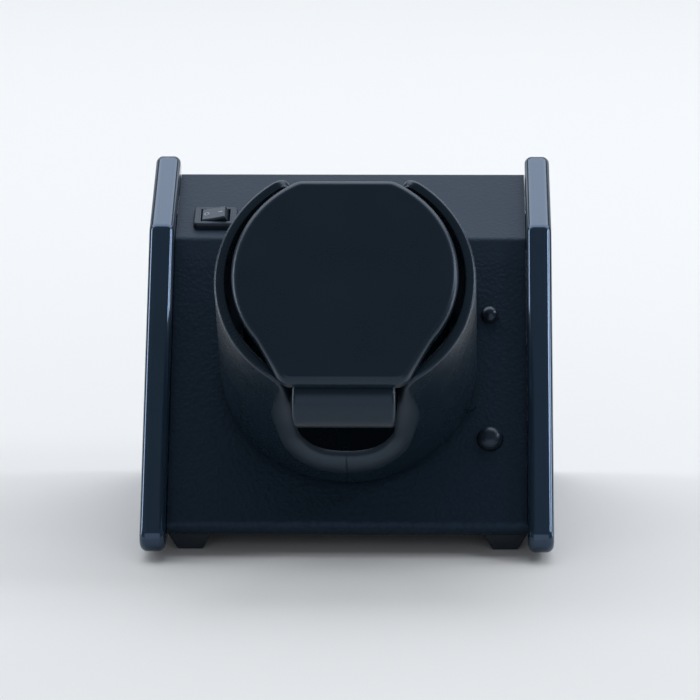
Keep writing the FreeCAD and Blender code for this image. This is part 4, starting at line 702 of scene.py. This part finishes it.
class WINDER_OT_shell(bpy.types.Operator):
    """Coats the bent shell, the back panel and the battery door."""
    bl_idname = "winder.shell"
    bl_label = "Shell"

    def execute(self, context):
        dress("body_shell", "back_panel", "battery_door", "panel_brackets")
        return {"FINISHED"}


class WINDER_OT_feet(bpy.types.Operator):
    """Gives the feet their rubber."""
    bl_idname = "winder.feet"
    bl_label = "Feet"

    def execute(self, context):
        dress("rubber_feet")
        return {"FINISHED"}


class WINDER_OT_fasteners(bpy.types.Operator):
    """Plates the screws, and gives those in sight domed heads with a cross recess, each turned its own way.
    A head's turn in radians is the first turn plus its count times the step."""
    bl_idname = "winder.fasteners"
    bl_label = "Fasteners"

    def execute(self, context):
        first_turn, turn_step = 0.35, 2.4
        for node, body in (("case_screws", "housing"), ("hub_screws", "cup")):
            heads = [(cross_head(*end, first_turn + turn_step * count), False, True)
                     for count, end in enumerate(screw_ends(node))]
            grid_piece(node.replace("screws", "screw_heads"), heads, SLOTS[node], body)
        dress("case_screws", "panel_screws", "mount_screws", "motor_plate_screws", "gearbox_screws",
              "hub_screws", "hub_set_screw", "gear_set_screw", "holder_screws", "board_screws")
        return {"FINISHED"}


class WINDER_OT_holder(bpy.types.Operator):
    """Finishes the holder, its legs and its jaw, and winds the jaw's two springs."""
    bl_idname = "winder.holder"
    bl_label = "Holder"

    def execute(self, context):
        dress("holder_face", "holder_core", "holder_legs", "holder_jaw", "jaw_springs")
        wire, turns, travel = 0.35, 5, JOINTS["jaw_slide"]["range_m"][1] / MM
        coils = []
        for points in loose_parts(NODES["jaw_springs"].data):
            spots = (points - AXIS_POINT) @ np.stack([ACROSS, SLOPE_UP, AXIS_OUT], 1) / MM
            (left, low, back), (right, high, front) = spots.min(axis=0), spots.max(axis=0)
            middle, depth = (left + right) / 2, (back + front) / 2
            winding = coil(middle, low, high, depth, (right - left) / 2 - wire, wire, turns)
            coils.append((winding, False, True))
        springs = grid_piece("jaw_spring_coils", coils, "spring_steel", "holder", ("jaw_springs",))
        slope_points(0.0, high, depth)
        1 - travel / (high - low)
        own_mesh(springs)
        return {"FINISHED"}


class WINDER_OT_rocker(bpy.types.Operator):
    """Finishes the rocker switch, narrows the ends of its well with two lips and prints its two marks: a ring
    turned from a low ridge and a bar. Bar and lips are rounded oblongs stacked from foot to top; the marks
    are laid on the tilted cap."""
    bl_idname = "winder.rocker"
    bl_label = "Rocker switch"

    def execute(self, context):
        dress("rocker_body", "rocker_pin", "rocker_cap", "switch_terminals")
        size = context.scene.winder_sizes
        lean, height, side = math.radians(11.0), 3.24, size.mark_spacing / MM / 2
        sine, cosine = math.sin(lean), math.cos(lean)
        thick, root = size.mark_height / MM, -0.1
        shoulder = 0.6 * thick

        def on_cap(shift):
            """Places points of a mark on the cap's face, shift along it from its middle."""
            return lambda u, v, w: top_points((u + shift) * cosine - (w + height) * sine, v,
                                              (u + shift) * sine + (w + height) * cosine)

        well, lip_foot, lip_shoulder, lip_top = 4.67, 1.9, 2.3, 2.38
        lip = [(0.0, 0.0, lip_foot), (0.32, 3.42, lip_foot), (0.32, 3.42, lip_shoulder),
               (0.25, 3.36, lip_top), (0.0, 0.0, lip_top)]
        lips = [(oblongs(lip, 0.1, lambda u, v, w, end=end: top_points(u + end, v, w)), False, True)
                for end in (-well, well)]
        grid_piece("rocker_bezel_lips", lips, SLOTS["rocker_body"], "housing")
        ring = [(0.50, root), (0.50, shoulder), (0.58, thick), (0.72, thick), (0.80, shoulder), (0.80, root)]
        bar = [(0.0, 0.0, root), (0.75, 0.26, root), (0.75, 0.26, shoulder), (0.68, 0.19, thick),
               (0.0, 0.0, thick)]
        grid_piece("rocker_mark_ring", [(turned(ring, 40, on_cap(-side)), True, True)], "gear_nylon",
                   "rocker", finish="rocker_mark")
        grid_piece("rocker_mark_bar", [(oblongs(bar, 0.2, on_cap(side)), False, True)], "gear_nylon",
                   "rocker", finish="rocker_mark")
        return {"FINISHED"}


class WINDER_OT_controls(bpy.types.Operator):
    """Finishes the indicator, the button and the circuit board behind them."""
    bl_idname = "winder.controls"
    bl_label = "Controls"

    def execute(self, context):
        dress("indicator_lens", "indicator_led", "push_button", "switch_plunger", "tact_switch",
              "circuit_board", "board_standoffs", "controller_chip")
        return {"FINISHED"}


class WINDER_OT_drive(bpy.types.Operator):
    """Finishes the plates, bearings, gears and motor."""
    bl_idname = "winder.drive"
    bl_label = "Drive"

    def execute(self, context):
        dress("mount_plate", "plate_standoffs", "motor_plate", "front_bush", "rear_bush", "cup_shaft",
              "thrust_washer", "shaft_clip", "drive_gear", "pinion", "gearbox_case", "motor_can",
              "motor_terminals")
        return {"FINISHED"}


class WINDER_OT_power(bpy.types.Operator):
    """Finishes the battery tray, its cells and contacts, and the leads."""
    bl_idname = "winder.power"
    bl_label = "Power"

    def execute(self, context):
        dress("battery_tray", "battery_cells", "battery_contacts", "contact_springs", "motor_leads",
              "switch_leads", "battery_leads")
        return {"FINISHED"}


class WINDER_OT_stage(bpy.types.Operator):
    """Sets the plain floor, the soft lights, the world and the camera."""
    bl_idname = "winder.stage"
    bl_label = "Stage"

    def execute(self, context):
        scene = context.scene
        stage = scene.winder_stage
        scene.view_settings.view_transform = "Standard"
        half = 6.0
        mesh = bpy.data.meshes.new("studio_floor")
        corners = [(-half, -half, 0), (half, -half, 0), (half, half, 0), (-half, half, 0)]
        mesh.from_pydata(corners, [], [(0, 1, 2, 3)])
        floor = bpy.data.objects.new("studio_floor", mesh)
        scene.collection.objects.link(floor)
        f = Finish("plain_floor")
        mesh.materials.append(f.surface(base_color=tuple(stage.floor), roughness=0.8))
        world = bpy.data.worlds.new("soft_room")
        world.use_nodes = True
        world.node_tree.nodes["Background"].inputs["Color"].default_value = (*stage.world, 1.0)
        scene.world = world
        aim = (0.0, 0.0, 0.05)
        soft_light("overhead_softbox", (0.0, 0.80, 1.55), (0.0, 0.1, 0.05), (3.4, 1.6), 39.0)
        soft_light("left_softbox", (-1.6, 0.30, 0.60), aim, (0.3, 1.3), 8.5)
        soft_light("right_softbox", (1.6, 0.30, 0.60), aim, (0.3, 1.3), 8.5)
        soft_light("back_softbox", (0.0, 2.3, 0.70), aim, (3.0, 0.8), 7.0)
        soft_light("key_softbox", (1.15, -0.20, 0.95), aim, (0.3, 0.3), 3.0)
        soft_light("front_softbox", (0.0, -2.2, 0.60), aim, (3.0, 1.5), 10.0)
        lens = bpy.data.cameras.new("photo_camera")
        lens.lens, lens.sensor_width, lens.sensor_fit = stage.lens, 36.0, "HORIZONTAL"
        lens.clip_start, lens.clip_end = 0.05, 50.0
        camera = bpy.data.objects.new("photo_camera", lens)
        a, e = stage.azimuth, stage.elevation
        back = Vector((math.sin(a) * math.cos(e), -math.cos(a) * math.cos(e), math.sin(e)))
        camera.location = Vector(stage.target) + back * stage.distance
        camera.rotation_mode = "QUATERNION"
        camera.rotation_quaternion = (-back).to_track_quat("-Z", "Y") @ Quaternion((0, 0, 1), stage.roll)
        scene.collection.objects.link(camera)
        scene.camera = camera
        return {"FINISHED"}


def soft_light(name, place, aim, size, power):
    """A rectangular soft box at a place, turned to face a point."""
    light = bpy.data.lights.new(name, "AREA")
    light.shape, light.size, light.size_y, light.energy = "RECTANGLE", size[0], size[1], power
    light.color = COOL_LAMP
    lamp = bpy.data.objects.new(name, light)
    lamp.location = place
    lamp.rotation_mode = "QUATERNION"
    lamp.rotation_quaternion = (Vector(aim) - Vector(place)).to_track_quat("-Z", "Y")
    lamp.visible_camera = False
    bpy.context.scene.collection.objects.link(lamp)
    return lamp


OPERATORS = (WINDER_OT_side_panels, WINDER_OT_shell, WINDER_OT_feet, WINDER_OT_fasteners, WINDER_OT_cup,
             WINDER_OT_holder, WINDER_OT_rocker, WINDER_OT_controls, WINDER_OT_drive, WINDER_OT_power,
             WINDER_OT_stage)


class WINDER_PT_build(bpy.types.Panel):
    """Lists the steps that dress the box."""
    bl_idname = "WINDER_PT_build"
    bl_label = "Watch winder box"
    bl_space_type = "VIEW_3D"
    bl_region_type = "UI"
    bl_category = "Winder"

    def draw(self, context):
        for operator in OPERATORS:
            self.layout.operator(operator.bl_idname)


CLASSES = (WinderColours, WinderSizes, WinderStage, *OPERATORS, WINDER_PT_build)


def register():
    for item in CLASSES:
        bpy.utils.register_class(item)
    bpy.types.Scene.winder_colours = PointerProperty(type=WinderColours)
    bpy.types.Scene.winder_sizes = PointerProperty(type=WinderSizes)
    bpy.types.Scene.winder_stage = PointerProperty(type=WinderStage)


def unregister():
    del bpy.types.Scene.winder_stage
    del bpy.types.Scene.winder_sizes
    del bpy.types.Scene.winder_colours
    for item in reversed(CLASSES):
        bpy.utils.unregister_class(item)


def main():
    register()
    for operator in OPERATORS:
        group, name = operator.bl_idname.split(".")
        getattr(getattr(bpy.ops, group), name)()
    bare = [name for name in NODES if NODES[name].material_slots[0].material not in made_finishes.values()]
    if set(bare) - {"cup_shell"}:
        raise RuntimeError("solids without a finish: " + ", ".join(bare))


if __name__ == "__main__":
    main()
